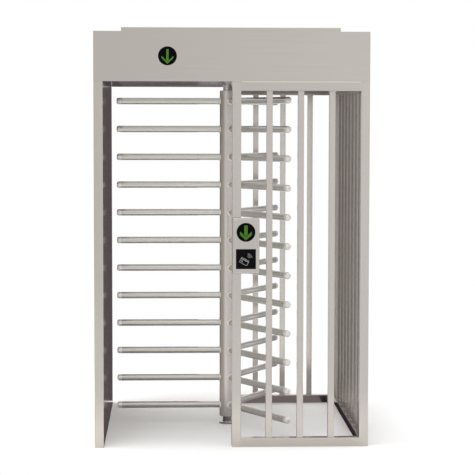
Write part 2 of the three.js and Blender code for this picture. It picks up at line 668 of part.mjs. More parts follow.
// Solenoid: a folded bracket that stands on the deck with the coil in its upper window
function solenoidBody() {
  const height = rodLevel + solenoid.headHalf - deckSeat;
  const axis = rodLevel - deckSeat;
  const shelf = axis - solenoid.headHalf;
  const inner = solenoid.length - 2 * solenoid.plate;
  const legs = block(solenoid.length, solenoid.width, height);
  const lowerWindow = block(inner, solenoid.width + 2 * overrun, shelf - 2 * solenoid.plate)
    .translate(0, 0, solenoid.plate);
  const upperWindow = block(inner, solenoid.width + 2 * overrun, height - shelf + overrun)
    .translate(0, 0, shelf);
  const coil = new THREE.CylinderGeometry(
    solenoid.coilRadius, solenoid.coilRadius, inner + solenoid.plate, sides.small,
  ).rotateZ(Math.PI / 2).translate(0, 0, axis);
  const boreLength = plungerRod.inside + solenoid.endGap + overrun;
  const bore = new THREE.CylinderGeometry(
    plungerRod.radius + runningFit, plungerRod.radius + runningFit, boreLength, sides.small,
  ).rotateZ(Math.PI / 2).translate(solenoid.length / 2 + overrun - boreLength / 2, 0, axis);
  const bracket = cut(toSolid(legs), lowerWindow, upperWindow);
  return fromSolid(cut(bracket.add(toSolid(coil)), bore));
}

// One lock for each way: entry at +Y, exit at -Y, both shown released
function addLocks() {
  for (const [label, side] of [['entry', 1], ['exit', -1]]) {
    addPiece(
      `${label}_pawl`, pawlOutline(side), machined(),
      [-pawl.reach, side * pawlAcross, webFoot], [0, 0, side * pawlSwing],
    );
    addPiece(`${label}_plunger`, plungerBody(), machined(), [pinX, side * pinAcross, rodLevel]);
    addPiece(
      `${label}_solenoid`, solenoidBody(), zinc(),
      [solenoidFace - solenoid.length / 2, side * pinAcross, deckSeat],
    );
  }
}

// Power supply: a case with an open ledge at one end for its row of screw terminals
function powerSupplyBody() {
  const ledge = block(powerUnit.ledge + overrun, powerUnit.depth + 2 * overrun, powerUnit.height)
    .translate((powerUnit.width + overrun - powerUnit.ledge) / 2, 0, powerUnit.ledgeHeight);
  const blockX = (powerUnit.width - terminals.depth) / 2 - terminals.barrier;
  const strip = block(terminals.depth, powerUnit.depth - 2 * terminals.barrier, terminals.height + overrun)
    .translate(blockX, 0, powerUnit.ledgeHeight - overrun);
  const pitch = (powerUnit.depth - 3 * terminals.barrier) / terminals.count;
  const slots = Array.from({ length: terminals.count }, (_, index) => (
    block(terminals.depth - terminals.barrier, pitch - terminals.barrier, terminals.slot + overrun).translate(
      blockX + terminals.barrier,
      (index - (terminals.count - 1) / 2) * pitch,
      powerUnit.ledgeHeight + terminals.height - terminals.slot,
    )
  ));
  const shell = cut(toSolid(block(powerUnit.width, powerUnit.depth, powerUnit.height)), ledge);
  return fromSolid(cut(shell.add(toSolid(strip)), ...slots));
}

// Control box and power supply on the ceiling sheet, beside the cage's side wall
function addControls() {
  const foot = ceilingTop + seat;
  const x = half - controlBox.fromSide - controlBox.width / 2;
  const beamFace = -(crossmember.spacing + crossmember.side) / 2;
  const supplyY = beamFace - powerUnit.gap - powerUnit.depth / 2;
  const y = supplyY - powerUnit.depth / 2 - powerUnit.gap - controlBox.depth / 2;
  const lowerHeight = controlBox.height - boxCover.drop;
  const bodyWidth = controlBox.width - 2 * boxCover.overhang;
  const bodyDepth = controlBox.depth - 2 * boxCover.overhang;
  const box = joined(
    extruded(roundedRectangle(bodyWidth, bodyDepth, boxCover.overhang), controlBox.height),
    extruded(
      roundedRectangle(controlBox.width, controlBox.depth, boxCover.overhang), boxCover.drop,
    ).translate(0, 0, lowerHeight),
  );
  addPiece('control_box', fromSolid(box), greyPaint(), [x, y, foot]);
  addPiece('power_supply', powerSupplyBody(), zinc(), [x, supplyY, foot]);
}

addLeftPanel();
addCage();
addHeader();
addHeaderDisplay();
addReader();
addDeck();
addUpperBearing();
addFloorPivot();
addRotorColumn();
addRotorShaft();
addRatchetWheel();
addDriveGear();
addDamper();
addLocks();
addControls();

export default turnstile;
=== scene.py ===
"""Full height turnstile: surfaces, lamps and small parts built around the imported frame, in metres."""

from __future__ import annotations

import json
import logging
import math
from dataclasses import dataclass, replace
from enum import Enum
from typing import Iterable, Sequence

import bmesh
import bpy
from bmesh.types import BMEdge, BMesh, BMFace, BMVert
from bpy.types import Material, Node, NodeInputs, NodeOutputs, NodeSocket, NodeTree, Object
from mathutils import Matrix, Vector

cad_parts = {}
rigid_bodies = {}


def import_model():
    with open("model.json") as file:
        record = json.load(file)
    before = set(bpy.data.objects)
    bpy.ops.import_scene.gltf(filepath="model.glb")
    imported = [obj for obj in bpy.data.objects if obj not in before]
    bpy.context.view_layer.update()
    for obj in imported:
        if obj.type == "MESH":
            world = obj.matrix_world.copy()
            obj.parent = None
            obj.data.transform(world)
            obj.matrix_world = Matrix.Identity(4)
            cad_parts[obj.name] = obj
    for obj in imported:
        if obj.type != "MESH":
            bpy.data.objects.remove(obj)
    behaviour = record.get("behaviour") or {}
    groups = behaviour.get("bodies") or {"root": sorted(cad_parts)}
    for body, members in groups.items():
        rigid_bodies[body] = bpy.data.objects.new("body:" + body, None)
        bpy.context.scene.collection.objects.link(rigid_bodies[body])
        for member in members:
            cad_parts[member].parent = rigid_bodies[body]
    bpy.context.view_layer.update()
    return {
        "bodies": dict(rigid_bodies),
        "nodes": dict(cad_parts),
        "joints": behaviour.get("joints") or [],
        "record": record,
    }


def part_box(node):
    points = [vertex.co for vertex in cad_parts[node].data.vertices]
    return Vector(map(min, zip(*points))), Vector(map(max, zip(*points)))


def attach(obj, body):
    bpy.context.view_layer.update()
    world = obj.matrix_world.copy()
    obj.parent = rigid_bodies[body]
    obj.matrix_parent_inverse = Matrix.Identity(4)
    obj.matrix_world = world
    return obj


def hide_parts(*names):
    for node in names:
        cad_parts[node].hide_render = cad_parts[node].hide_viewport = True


LOG = logging.getLogger("turnstile")
MM = 0.001
WELD_DISTANCE = 0.00002
FLAT_ANGLE = 0.5
SMOOTH_ANGLE = 32.0
ROUNDED_ANGLE = 40.0
FOLDED_ANGLE = 50.0
WELD_ANGLE = 60.0
FRONT_DEPTH = 0.5 * MM
EDGE_STEPS = 2
HALF_COUNT = 0.5

Point = tuple[float, float, float]
Profile = Sequence[tuple[float, float]]


class Grain(Enum):
    """The way a surface was brushed, as the stretch of its pattern along X, Y and Z."""

    UP = (1.0, 1.0, 0.012)
    ACROSS = (0.012, 1.0, 1.0)
    DEEP = (1.0, 0.012, 1.0)
    EVEN = (1.0, 1.0, 1.0)


class Body(Enum):
    """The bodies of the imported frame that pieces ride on."""

    FRAME = "frame"
    ROTOR = "rotor"
    PINION = "pinion"
    ENTRY_PAWL = "entry_pawl_body"
    EXIT_PAWL = "exit_pawl_body"
    ENTRY_PLUNGER = "entry_plunger_body"
    EXIT_PLUNGER = "exit_plunger_body"


class Slot(Enum):
    """The record's material slots that pieces take their finish from."""

    SATIN = "brushed_stainless"
    POLISHED = "polished_stainless"
    MACHINED = "machined_steel"
    ZINC = "zinc_plate"
    CAST = "cast_iron"
    BRONZE = "bronze"
    LENS = "black_lens"
    PAINT = "grey_paint"


# Node trees


class Tree:
    """A node tree with short ways to add and join nodes."""

    def __init__(self, tree: NodeTree) -> None:
        """Keeps the tree and empties it."""
        self.tree = tree
        tree.nodes.clear()

    def join(self, socket: NodeSocket, value: object) -> None:
        """Links an output to an input socket, or sets the input's own value.

        Args:
            socket: The input socket.
            value: An output socket or a plain value.
        """
        if isinstance(value, NodeSocket):
            self.tree.links.new(value, socket)
        else:
            socket.default_value = value

    def add(self, kind: str, inputs: dict[str | int, object] | None = None, **settings: object) -> Node:
        """Adds one node.

        Args:
            kind: The shader node's type, such as "Math".
            inputs: Values or output sockets for its inputs, by name or number.
            **settings: Its own properties, such as operation.

        Returns:
            The new node.
        """
        node = self.tree.nodes.new(f"ShaderNode{kind}")
        for name, value in settings.items():
            setattr(node, name, value)
        for key, value in (inputs or {}).items():
            self.join(node.inputs[key], value)
        return node

    def maths(self, operation: str, *values: object) -> NodeSocket:
        """Adds a Math node and gives its output."""
        return self.add("Math", dict(enumerate(values)), operation=operation).outputs[0]

    def remap(self, value: NodeSocket, low: float, high: float, to_low: float = 0.0,
              to_high: float = 1.0) -> NodeSocket:
        """Adds a clamped Map Range node and gives its output."""
        inputs = {"Value": value, "From Min": low, "From Max": high, "To Min": to_low, "To Max": to_high}
        return self.add("MapRange", inputs).outputs["Result"]

    def tint(self, factor: object, first: object, second: object, blend: str = "MIX") -> NodeSocket:
        """Adds a colour Mix node and gives its output."""
        inputs = {0: factor, 6: first, 7: second}
        return self.add("Mix", inputs, data_type="RGBA", blend_type=blend).outputs[2]

    def group(self, tree: NodeTree, **inputs: object) -> NodeOutputs:
        """Places a node group and gives its outputs."""
        return self.add("Group", inputs, node_tree=tree).outputs

    def noise(self, vector: NodeSocket, scale: object, detail: float, roughness: float = 0.5) -> NodeSocket:
        """Adds a Noise Texture node and gives its strength."""
        inputs = {"Vector": vector, "Scale": scale, "Detail": detail, "Roughness": roughness}
        return self.add("TexNoise", inputs).outputs["Fac"]

    def bump(self, height: NodeSocket, strength: float, distance: float, **under: NodeSocket) -> NodeSocket:
        """Adds a Bump node, over another Normal where one is given, and gives its output."""
        inputs = {"Strength": strength, "Distance": distance, "Height": height, **under}
        return self.add("Bump", inputs).outputs["Normal"]

    def seen(self) -> tuple[NodeOutputs, NodeSocket]:
        """Tells rays that show a surface from those that only carry its light.

        Returns:
            The Light Path node's outputs, and 1 for camera, glossy and transmission rays.
        """
        path = self.add("LightPath").outputs
        seen = self.maths("MAXIMUM", path["Is Camera Ray"], path["Is Glossy Ray"])
        return path, self.maths("MAXIMUM", seen, path["Is Transmission Ray"])

    def mix_out(self, kind: str, factor: NodeSocket, first: Node, second: Node) -> None:
        """Mixes two shaders into the tree's output node of one kind."""
        both = self.add("MixShader", {0: factor, 1: first.outputs[0], 2: second.outputs[0]})
        self.add(f"Output{kind}", {"Surface": both.outputs[0]})


def new_material(name: str) -> tuple[Material, Tree]:
    """Makes a material with an empty node tree.

    Args:
        name: Its name.

    Returns:
        The material and its tree.
    """
    material = bpy.data.materials.new(name)
    material.use_nodes = True
    return material, Tree(material.node_tree)


def rgba(colour: Sequence[float]) -> tuple[float, ...]:
    """Gives a colour with full alpha."""
    return (*colour, 1.0)


class EffectLibrary:
    """Shader node groups that more than one finish uses."""

    noise_reach = (0.3, 0.7)
    broad_share = 0.16
    speck_scale = 60.0
    speck_reach = (0.35, 0.65, 0.3, 1.0)

    def __init__(self) -> None:
        """Builds every group once."""
        self.grain = self._grain()
        self.clouds = self._clouds()
        self.splash = self._splash()
        self.pits = self._pits()

    @staticmethod
    def _start(name: str, floats: Sequence[str], outputs: Sequence[str],
               vectors: Sequence[str] = ("Vector",)) -> tuple[Tree, NodeOutputs, NodeInputs]:
        """Starts a group.

        Args:
            name: The group's name.
            floats: Names of its float inputs.
            outputs: Names of its float outputs.
            vectors: Names of its vector inputs, which come first.

        Returns:
            The tree, what it is given and what it puts out.
        """
        group = bpy.data.node_groups.new(name, "ShaderNodeTree")
        sockets = [(vector, "INPUT", "NodeSocketVector") for vector in vectors]
        sockets += [(value, "INPUT", "NodeSocketFloat") for value in floats]
        sockets += [(value, "OUTPUT", "NodeSocketFloat") for value in outputs]
        for socket, way, kind in sockets:
            group.interface.new_socket(name=socket, in_out=way, socket_type=kind)
        tree = Tree(group)
        return tree, group.nodes.new("NodeGroupInput").outputs, group.nodes.new("NodeGroupOutput").inputs

    def _grain(self) -> NodeTree:
        """Makes fine brushed lines: Height for a bump and Tone for colour and gloss.

        Returns:
            The group.
        """
        tree, given, out = self._start(
            "brushed_grain", ["Fineness"], ["Height", "Tone"], ["Vector", "Stretch"])
        stretch = {0: given["Vector"], 1: given["Stretch"]}
        drawn = tree.add("VectorMath", stretch, operation="MULTIPLY").outputs[0]
        tree.join(out["Height"], tree.noise(drawn, given["Fineness"], detail=3.0, roughness=0.6))
        scale = tree.maths("MULTIPLY", given["Fineness"], self.broad_share)
        tree.join(out["Tone"], tree.remap(tree.noise(drawn, scale, detail=2.0), *self.noise_reach))
        return tree.tree

    def _clouds(self) -> NodeTree:
        """Makes soft large patches, from 0 to 1.

        Returns:
            The group.
        """
        tree, given, out = self._start("soft_clouds", ["Size"], ["Mask"])
        scale = tree.maths("DIVIDE", 1.0, given["Size"])
        noise = tree.noise(given["Vector"], scale, detail=2.0, roughness=0.45)
        tree.join(out["Mask"], tree.remap(noise, *self.noise_reach))
        return tree.tree

    def _splash(self) -> NodeTree:
        """Makes dust and splashes that fade out above the floor.

        Returns:
            The group.
        """
        tree, given, out = self._start("floor_splash", ["Reach"], ["Mask"])
        level = tree.add("SeparateXYZ", {0: given["Vector"]}).outputs["Z"]
        height = tree.maths("DIVIDE", level, given["Reach"])
        fade = tree.maths("POWER", tree.remap(height, 0.0, 1.0, 1.0, 0.0), 2.0)
        noise = tree.noise(given["Vector"], self.speck_scale, detail=4.0, roughness=0.7)
        tree.join(out["Mask"], tree.maths("MULTIPLY", fade, tree.remap(noise, *self.speck_reach)))
        return tree.tree

    def _pits(self) -> NodeTree:
        """Makes the skin of a casting or of sprayed enamel.

        Returns:
            The group.
        """
        tree, given, out = self._start("skin_pits", ["Size"], ["Height", "Tone"])
        scale = tree.maths("DIVIDE", 1.0, given["Size"])
        cells = tree.add("TexVoronoi", {"Vector": given["Vector"], "Scale": scale}, feature="SMOOTH_F1")
        noise = tree.noise(given["Vector"], scale, detail=3.0)
        tree.join(out["Height"], tree.maths("ADD", cells.outputs["Distance"], noise))
        tree.join(out["Tone"], tree.remap(noise, *self.noise_reach))
        return tree.tree


# Finishes

DUST_COLOUR = (0.30, 0.27, 0.24)
DUST_ROUGHNESS = 0.3
GRAIN_HEIGHT = 0.4 * MM
PIT_HEIGHT = 0.3 * MM
WAVE_SIZE = 0.42
GLOW_PATCH = 0.012
PATTERN_SHARE = 0.5


@dataclass(frozen=True)
class Finish:
    """What all finishes share."""

    name: str
    colour: Point
    roughness: float

    def build(self, effects: EffectLibrary) -> Material:
        """Makes the material.

        Args:
            effects: The shared node groups.

        Returns:
            The new material.
        """
        material, tree = new_material(self.name)
        inputs = self.inputs(tree, tree.add("TexCoord").outputs["Object"], effects)
        tree.add("OutputMaterial", {"Surface": tree.add("BsdfPrincipled", inputs).outputs["BSDF"]})
        return material

    def inputs(self, tree: Tree, place: NodeSocket, effects: EffectLibrary) -> dict[str, object]:
        """Gives the surface shader's inputs: the plain colour and roughness."""
        return {"Base Color": rgba(self.colour), "Roughness": self.roughness}

    def shades(self, tree: Tree, factor: NodeSocket, spread: float) -> NodeSocket:
        """Mixes a darker and a lighter shade of the colour.

        Args:
            tree: The material's tree.
            factor: Where it is lighter.
            spread: How far both shades are from the colour.

        Returns:
            The colour's socket.
        """
        dark = rgba([channel * (1 - spread) for channel in self.colour])
        light = rgba([min(1.0, channel * (1 + spread)) for channel in self.colour])
        return tree.tint(factor, dark, light)


@dataclass(frozen=True)
class SteelFinish(Finish):
    """A bare metal surface: its brushing, its handling, the dust at its foot and its painted floor shade.
    """

    grain: Grain = Grain.EVEN
    fineness: float = 900.0
    depth: float = 0.015
    cloud_size: float = 0.35
    tone_spread: float = 0.03
    gloss_spread: float = 0.04
    splash: float = 0.0
    splash_reach: float = 0.25
    waviness: float = 0.0
    metallic: float = 1.0
    # Painted shade towards the floor: its share at the foot, and the height where it ends.
    floor_shade: float = 0.0
    floor_shade_reach: float = 1.9

    def inputs(self, tree: Tree, place: NodeSocket, effects: EffectLibrary) -> dict[str, object]:
        """Adds the metal's pattern.

        Args:
            tree: The material's tree.
            place: The place on the piece.
            effects: The shared node groups.

        Returns:
            The surface shader's inputs.
        """
        grain = tree.group(effects.grain, Vector=place, Stretch=self.grain.value, Fineness=self.fineness)
        clouds = tree.group(effects.clouds, Vector=place, Size=self.cloud_size)["Mask"]
        halves = [tree.maths("MULTIPLY", pattern, PATTERN_SHARE) for pattern in (grain["Tone"], clouds)]
        shade = tree.maths("ADD", *halves)
        colour = self.shades(tree, shade, self.tone_spread)
        dull, bright = self.roughness + self.gloss_spread, self.roughness - self.gloss_spread
        gloss = tree.remap(shade, 0.0, 1.0, dull, bright)
        if self.splash > 0:
            splash = tree.group(effects.splash, Vector=place, Reach=self.splash_reach)["Mask"]
            mask = tree.maths("MULTIPLY", splash, self.splash)
            colour = tree.tint(mask, colour, rgba(DUST_COLOUR))
            gloss = tree.maths("ADD", gloss, tree.maths("MULTIPLY", mask, DUST_ROUGHNESS))
        # Painted shade: the colour is multiplied by a grey that darkens it towards the floor.
        if self.floor_shade > 0:
            level = tree.add("SeparateXYZ", {0: place}).outputs["Z"]
            shine = tree.remap(level, 0.0, self.floor_shade_reach, 1.0 - self.floor_shade, 1.0)
            shade_grey = tree.add("CombineColor", {0: shine, 1: shine, 2: shine}).outputs[0]
            colour = tree.tint(1.0, colour, shade_grey, "MULTIPLY")
        normal = tree.bump(grain["Height"], self.depth, GRAIN_HEIGHT)
        if self.waviness > 0:
            wave = tree.group(effects.clouds, Vector=place, Size=WAVE_SIZE)["Mask"]
            normal = tree.bump(wave, 1.0, self.waviness, Normal=normal)
        return {"Base Color": colour, "Metallic": self.metallic, "Roughness": gloss, "Normal": normal}


@dataclass(frozen=True)
class CoatedFinish(Finish):
    """Enamel, a painted casting, plated sheet or plastic."""

    metallic: float = 0.0
    pit_size: float = 0.002
    pit_depth: float = 0.2
    tone_spread: float = 0.08
    coat: float = 0.0
    specular: float = 0.5

    def inputs(self, tree: Tree, place: NodeSocket, effects: EffectLibrary) -> dict[str, object]:
        """Adds the coat's fine pits.

        Args:
            tree: The material's tree.
            place: The place on the piece.
            effects: The shared node groups.

        Returns:
            The surface shader's inputs.
        """
        pits = tree.group(effects.pits, Vector=place, Size=self.pit_size)
        return {
            "Base Color": self.shades(tree, pits["Tone"], self.tone_spread), "Roughness": self.roughness,
            "Metallic": self.metallic, "Coat Weight": self.coat, "Specular IOR Level": self.specular,
            "Normal": tree.bump(pits["Height"], self.pit_depth, PIT_HEIGHT),
        }


@dataclass(frozen=True)
class GlowFinish(Finish):
    """A lit lens between two colours, a little uneven from lamp to lamp."""

    other: Point
    strength: float
    specular: float

    def inputs(self, tree: Tree, place: NodeSocket, effects: EffectLibrary) -> dict[str, object]:
        """Adds the lens's light.

        Args:
            tree: The material's tree.
            place: The place on the piece.
            effects: The shared node groups.

        Returns:
            The surface shader's inputs.
        """
        clouds = tree.group(effects.clouds, Vector=place, Size=GLOW_PATCH)["Mask"]
        colour = tree.tint(clouds, rgba(self.other), rgba(self.colour))
        return {"Base Color": colour, "Roughness": self.roughness, "Specular IOR Level": self.specular,
                "Emission Color": colour, "Emission Strength": self.strength}


STEEL = (0.520, 0.490, 0.455)
UPRIGHT = SteelFinish("satin_upright", STEEL, 0.15, Grain.UP, splash=0.12, splash_reach=0.10, depth=0.005,
                      gloss_spread=0.01, tone_spread=0.02, metallic=0.92)
ACROSS = SteelFinish("satin_across", STEEL, 0.15, Grain.ACROSS, splash=0.08, splash_reach=0.06)
SHEET = SteelFinish("satin_sheet", STEEL, 0.17, Grain.ACROSS, cloud_size=0.6, waviness=0.0002)
# The arms' steel carries painted shade that darkens it towards the floor.
ARMS = SteelFinish("arms", (0.67, 0.65, 0.615), 0.10, cloud_size=0.12, fineness=300.0, depth=0.005,
                   gloss_spread=0.02, metallic=0.5, floor_shade=0.24)
FINISHES: dict[Slot, tuple[Finish, ...]] = {
    Slot.SATIN: (
        UPRIGHT,
        # A lighter, less metallic copy of the upright steel for the rear posts and bars: painted light on
        # them.
        replace(UPRIGHT, name="satin_rear_painted_light", colour=(0.68, 0.65, 0.615), metallic=0.7),
        ACROSS,
        # A darker copy of the cross steel for the sills at the floor: painted shade.
        replace(ACROSS, name="satin_sill_painted_shade", colour=(0.485, 0.455, 0.42)),
        replace(ACROSS, name="satin_deep", grain=Grain.DEEP),
        SHEET,
        replace(SHEET, name="satin_panel", roughness=0.15, grain=Grain.UP, splash=0.08, splash_reach=0.12),
        # A darker copy of the sheet steel for the header's ceiling: painted shade under the header.
        replace(SHEET, name="satin_ceiling_painted_shade", colour=(0.345, 0.308, 0.302), roughness=0.15, cloud_size=0.5),
        SteelFinish("satin_shell", STEEL, 0.16, Grain.UP, cloud_size=0.15),
        SteelFinish("bar_weld", (0.42, 0.39, 0.365), 0.35, fineness=500.0, depth=0.1, cloud_size=0.01),
    ),
    Slot.POLISHED: (
        # The arm beads' finish is pale and little metallic: a painted highlight on the weld rings at the
        # pole.
        SteelFinish("weld", (0.86, 0.84, 0.81), 0.25, fineness=500.0, depth=0.05, cloud_size=0.01,
                    tone_spread=0.05, metallic=0.35),
        # The seam's finish is pale: a painted highlight along the head rails' top edge.
        SteelFinish("seam", (0.74, 0.73, 0.69), 0.22, cloud_size=0.08, depth=0.01, metallic=0.8),
        SteelFinish("pole", (0.60, 0.57, 0.53), 0.24, Grain.UP, cloud_size=0.3, splash=0.12,
                    splash_reach=0.15, metallic=0.65),
        ARMS,
        # A lighter, less metallic copy of the arm steel for the caps: a painted highlight on the arms'
        # tips.
        replace(ARMS, name="caps_painted_highlight", colour=(0.78, 0.76, 0.73), roughness=0.12, cloud_size=0.05, depth=0.01,
                metallic=0.35, floor_shade=0.0),
    ),
    Slot.MACHINED: (
        SteelFinish("machined", (0.47, 0.46, 0.45), 0.24, fineness=700.0, depth=0.12, cloud_size=0.05,
                    tone_spread=0.08),
    ),
    Slot.BRONZE: (SteelFinish("bronze", (0.48, 0.30, 0.12), 0.26, fineness=600.0, cloud_size=0.03),),
    Slot.ZINC: (
        CoatedFinish("zinc", (0.50, 0.51, 0.52), 0.36, metallic=1.0, pit_size=0.012, pit_depth=0.08),
    ),
    Slot.CAST: (CoatedFinish("casting", (0.07, 0.075, 0.085), 0.5, pit_size=0.0015, pit_depth=0.5),),
    Slot.PAINT: (
        CoatedFinish("enamel", (0.34, 0.36, 0.37), 0.38, pit_size=0.0012, pit_depth=0.12, coat=0.3),
    ),
    Slot.LENS: (
        CoatedFinish("bezel", (0.004, 0.004, 0.005), 0.32, pit_size=0.0008, pit_depth=0.15, specular=0.06),
        CoatedFinish("lens", (0.002, 0.002, 0.003), 0.10, pit_size=0.03, pit_depth=0.02, specular=0.02),
        CoatedFinish("window", (0.003, 0.0025, 0.003), 0.14, pit_size=0.03, pit_depth=0.02, specular=0.04),
        CoatedFinish("print", (0.46, 0.46, 0.46), 0.45, pit_size=0.001, pit_depth=0.05, specular=0.1),
        GlowFinish("arrow_light", (0.042, 0.215, 0.012), 0.25, other=(0.085, 0.15, 0.022), strength=0.22,
                   specular=0.08),
    ),
}


# Shapes

ALONG_X = Matrix.Rotation(math.pi / 2, 4, "Y")
ALONG_Y = Matrix.Rotation(-math.pi / 2, 4, "X")
TOWARDS_FRONT = Matrix.Rotation(math.pi / 2, 4, "X")


def bevel(mesh: BMesh, parts: Sequence[BMEdge | BMVert], radius: float, segments: int,
          affect: str = "EDGES", clamp: bool = False) -> None:
    """Rounds edges or corners of a mesh."""
    bmesh.ops.bevel(mesh, geom=parts, offset=radius, offset_type="OFFSET", segments=segments, profile=0.5,
                    affect=affect, material=-1, clamp_overlap=clamp)


def inset(mesh: BMesh, faces: Sequence[BMFace], wall: float) -> None:
    """Insets faces by the thickness of a wall."""
    bmesh.ops.inset_region(mesh, faces=faces, thickness=wall, use_even_offset=True, use_boundary=True)


def rounded_slab(width: float, depth: float, radius: float, segments: int) -> BMesh:
    """Makes one flat face with rounded corners, centred on the origin.

    Args:
        width: Its size along X.
        depth: Its size along Y.
        radius: The corner radius.
        segments: Steps in each corner.

    Returns:
        A new mesh with one face.
    """
    mesh = bmesh.new()
    bmesh.ops.create_grid(mesh, x_segments=1, y_segments=1, size=0.5)
    bmesh.ops.scale(mesh, vec=(width, depth, 1.0), verts=mesh.verts)
    if radius > 0:
        bevel(mesh, mesh.verts[:], radius, segments, "VERTICES")
    return mesh


def raise_faces(mesh: BMesh, faces: Sequence[BMFace], rise: float) -> list[BMFace]:
    """Extrudes faces and moves the new ones along Z.

    Args:
        mesh: The mesh to change.
        faces: Its faces to extrude.
        rise: How far the new faces move.

    Returns:
        The moved faces.
    """
    made = bmesh.ops.extrude_face_region(mesh, geom=faces)["geom"]
    verts = [item for item in made if isinstance(item, BMVert)]
    bmesh.ops.translate(mesh, verts=verts, vec=(0.0, 0.0, rise))
    return [item for item in made if isinstance(item, BMFace)]


def hollow_section(width: float, depth: float, wall: float, radius: float, length: float,
                   segments: int = 4) -> BMesh:
    """Makes an open tube with a rounded rectangular section along +Z.

    Args:
        width: Its outer size along X.
        depth: Its outer size along Y.
        wall: The thickness of its wall.
        radius: The outer corner radius.
        length: Its length from the origin.
        segments: Steps in each corner.

    Returns:
        The new mesh.
    """
    mesh = rounded_slab(width, depth, radius, segments)
    middle = mesh.faces[:]
    inset(mesh, middle, wall)
    bmesh.ops.delete(mesh, geom=middle, context="FACES")
    raise_faces(mesh, mesh.faces[:], length)
    return mesh


def rounded_tray(size: Point, corner: float, edge: float, wall: float, segments: int = 5) -> BMesh:
    """Makes a box open below, with rounded corners and a rounded top edge.

    Args:
        size: Its sizes, with the height from the origin up.
        corner: The radius of its upright corners.
        edge: The radius along its top edge.
        wall: The thickness of its wall.
        segments: Steps in each corner and edge.

    Returns:
        The new mesh.
    """
    mesh = rounded_slab(size[0], size[1], corner, segments)
    top = raise_faces(mesh, mesh.faces[:], size[2])
    bevel(mesh, [side for face in top for side in face.edges], edge, segments)
    foot = [face for face in mesh.faces if face.calc_center_median().z < WELD_DISTANCE]
    inset(mesh, foot, wall)
    raise_faces(mesh, foot, size[2] - wall)
    return mesh


def turned(profile: Profile, segments: int, angle: float = 360.0) -> BMesh:
    """Turns a profile about the Z axis.

    Args:
        profile: Pairs of radius and height.
        segments: Steps in the turn.
        angle: How far it turns, in degrees.

    Returns:
        The new mesh.
    """
    mesh = bmesh.new()
    verts = [mesh.verts.new((radius, 0.0, level)) for radius, level in profile]
    edges = [mesh.edges.new(pair) for pair in zip(verts, verts[1:])]
    bmesh.ops.spin(mesh, geom=[*verts, *edges], cent=(0.0, 0.0, 0.0), axis=(0.0, 0.0, 1.0),
                   angle=math.radians(angle), steps=segments, use_merge=angle >= 360.0)
    bmesh.ops.remove_doubles(mesh, verts=mesh.verts, dist=WELD_DISTANCE / 2)
    return mesh


def arc(x: float, y: float, radius: float, start: float, end: float,
        steps: int) -> list[tuple[float, float]]:
    """Gives the points of an arc about (x, y), both ends included, with its angles in degrees."""
    angles = [math.radians(start + (end - start) * step / steps) for step in range(steps + 1)]
    return [(x + radius * math.cos(angle), y + radius * math.sin(angle)) for angle in angles]


def move(mesh: BMesh, matrix: Matrix) -> BMesh:
    """Moves a whole mesh by a matrix and gives it back."""
    bmesh.ops.transform(mesh, matrix=matrix, verts=mesh.verts)
    return mesh


def shifted(x: float, y: float, z: float = 0.0) -> Matrix:
    """Gives the matrix of a plain shift."""
    return Matrix.Translation((x, y, z))


def to_object(name: str, mesh: BMesh) -> Object:
    """Turns a mesh into an object of the scene and frees it.

    Args:
        name: The object's name.
        mesh: Its mesh, in place.

    Returns:
        The new object.
    """
    made = bpy.data.objects.new(name, bpy.data.meshes.new(name))
    mesh.to_mesh(made.data)
    mesh.free()
    bpy.context.scene.collection.objects.link(made)
    return made


def gather(meshes: Iterable[BMesh]) -> BMesh:
    """Puts several meshes into one and frees them.

    Args:
        meshes: The meshes to put together.

    Returns:
        One new mesh.
    """
    whole = bmesh.new()
    scratch = bpy.data.meshes.new("scratch")
    for mesh in meshes:
        mesh.to_mesh(scratch)
        whole.from_mesh(scratch)
        mesh.free()
    bpy.data.meshes.remove(scratch)
    return whole


def cut(mesh: BMesh, cutters: Iterable[BMesh]) -> BMesh:
    """Cuts solids out of a mesh and frees them all.

    Args:
        mesh: The mesh to cut.
        cutters: The closed meshes to cut out of it.

    Returns:
        A new mesh.
    """
    tools = gather(cutters)
    for source in (mesh, tools):
        bmesh.ops.recalc_face_normals(source, faces=source.faces)
    whole, tool = to_object("cut_whole", mesh), to_object("cut_tool", tools)
    boolean = whole.modifiers.new("cut", "BOOLEAN")
    boolean.operation = "DIFFERENCE"
    boolean.solver = "EXACT"
    boolean.object = tool
    bpy.context.view_layer.update()
    result = bmesh.new()
    result.from_mesh(whole.evaluated_get(bpy.context.evaluated_depsgraph_get()).to_mesh())
    for made in (whole, tool):
        data = made.data
        bpy.data.objects.remove(made)
        bpy.data.meshes.remove(data)
    return result


def block(low: Sequence[float], high: Sequence[float]) -> BMesh:
    """Makes a box between two corners.

    Args:
        low: Its lowest corner.
        high: Its highest corner.

    Returns:
        The new mesh.
    """
    mesh = bmesh.new()
    bmesh.ops.create_cube(mesh, size=1.0)
    bmesh.ops.scale(mesh, vec=[top - foot for foot, top in zip(low, high)], verts=mesh.verts)
    bmesh.ops.translate(mesh, vec=[(top + foot) / 2 for foot, top in zip(low, high)], verts=mesh.verts)
    return mesh


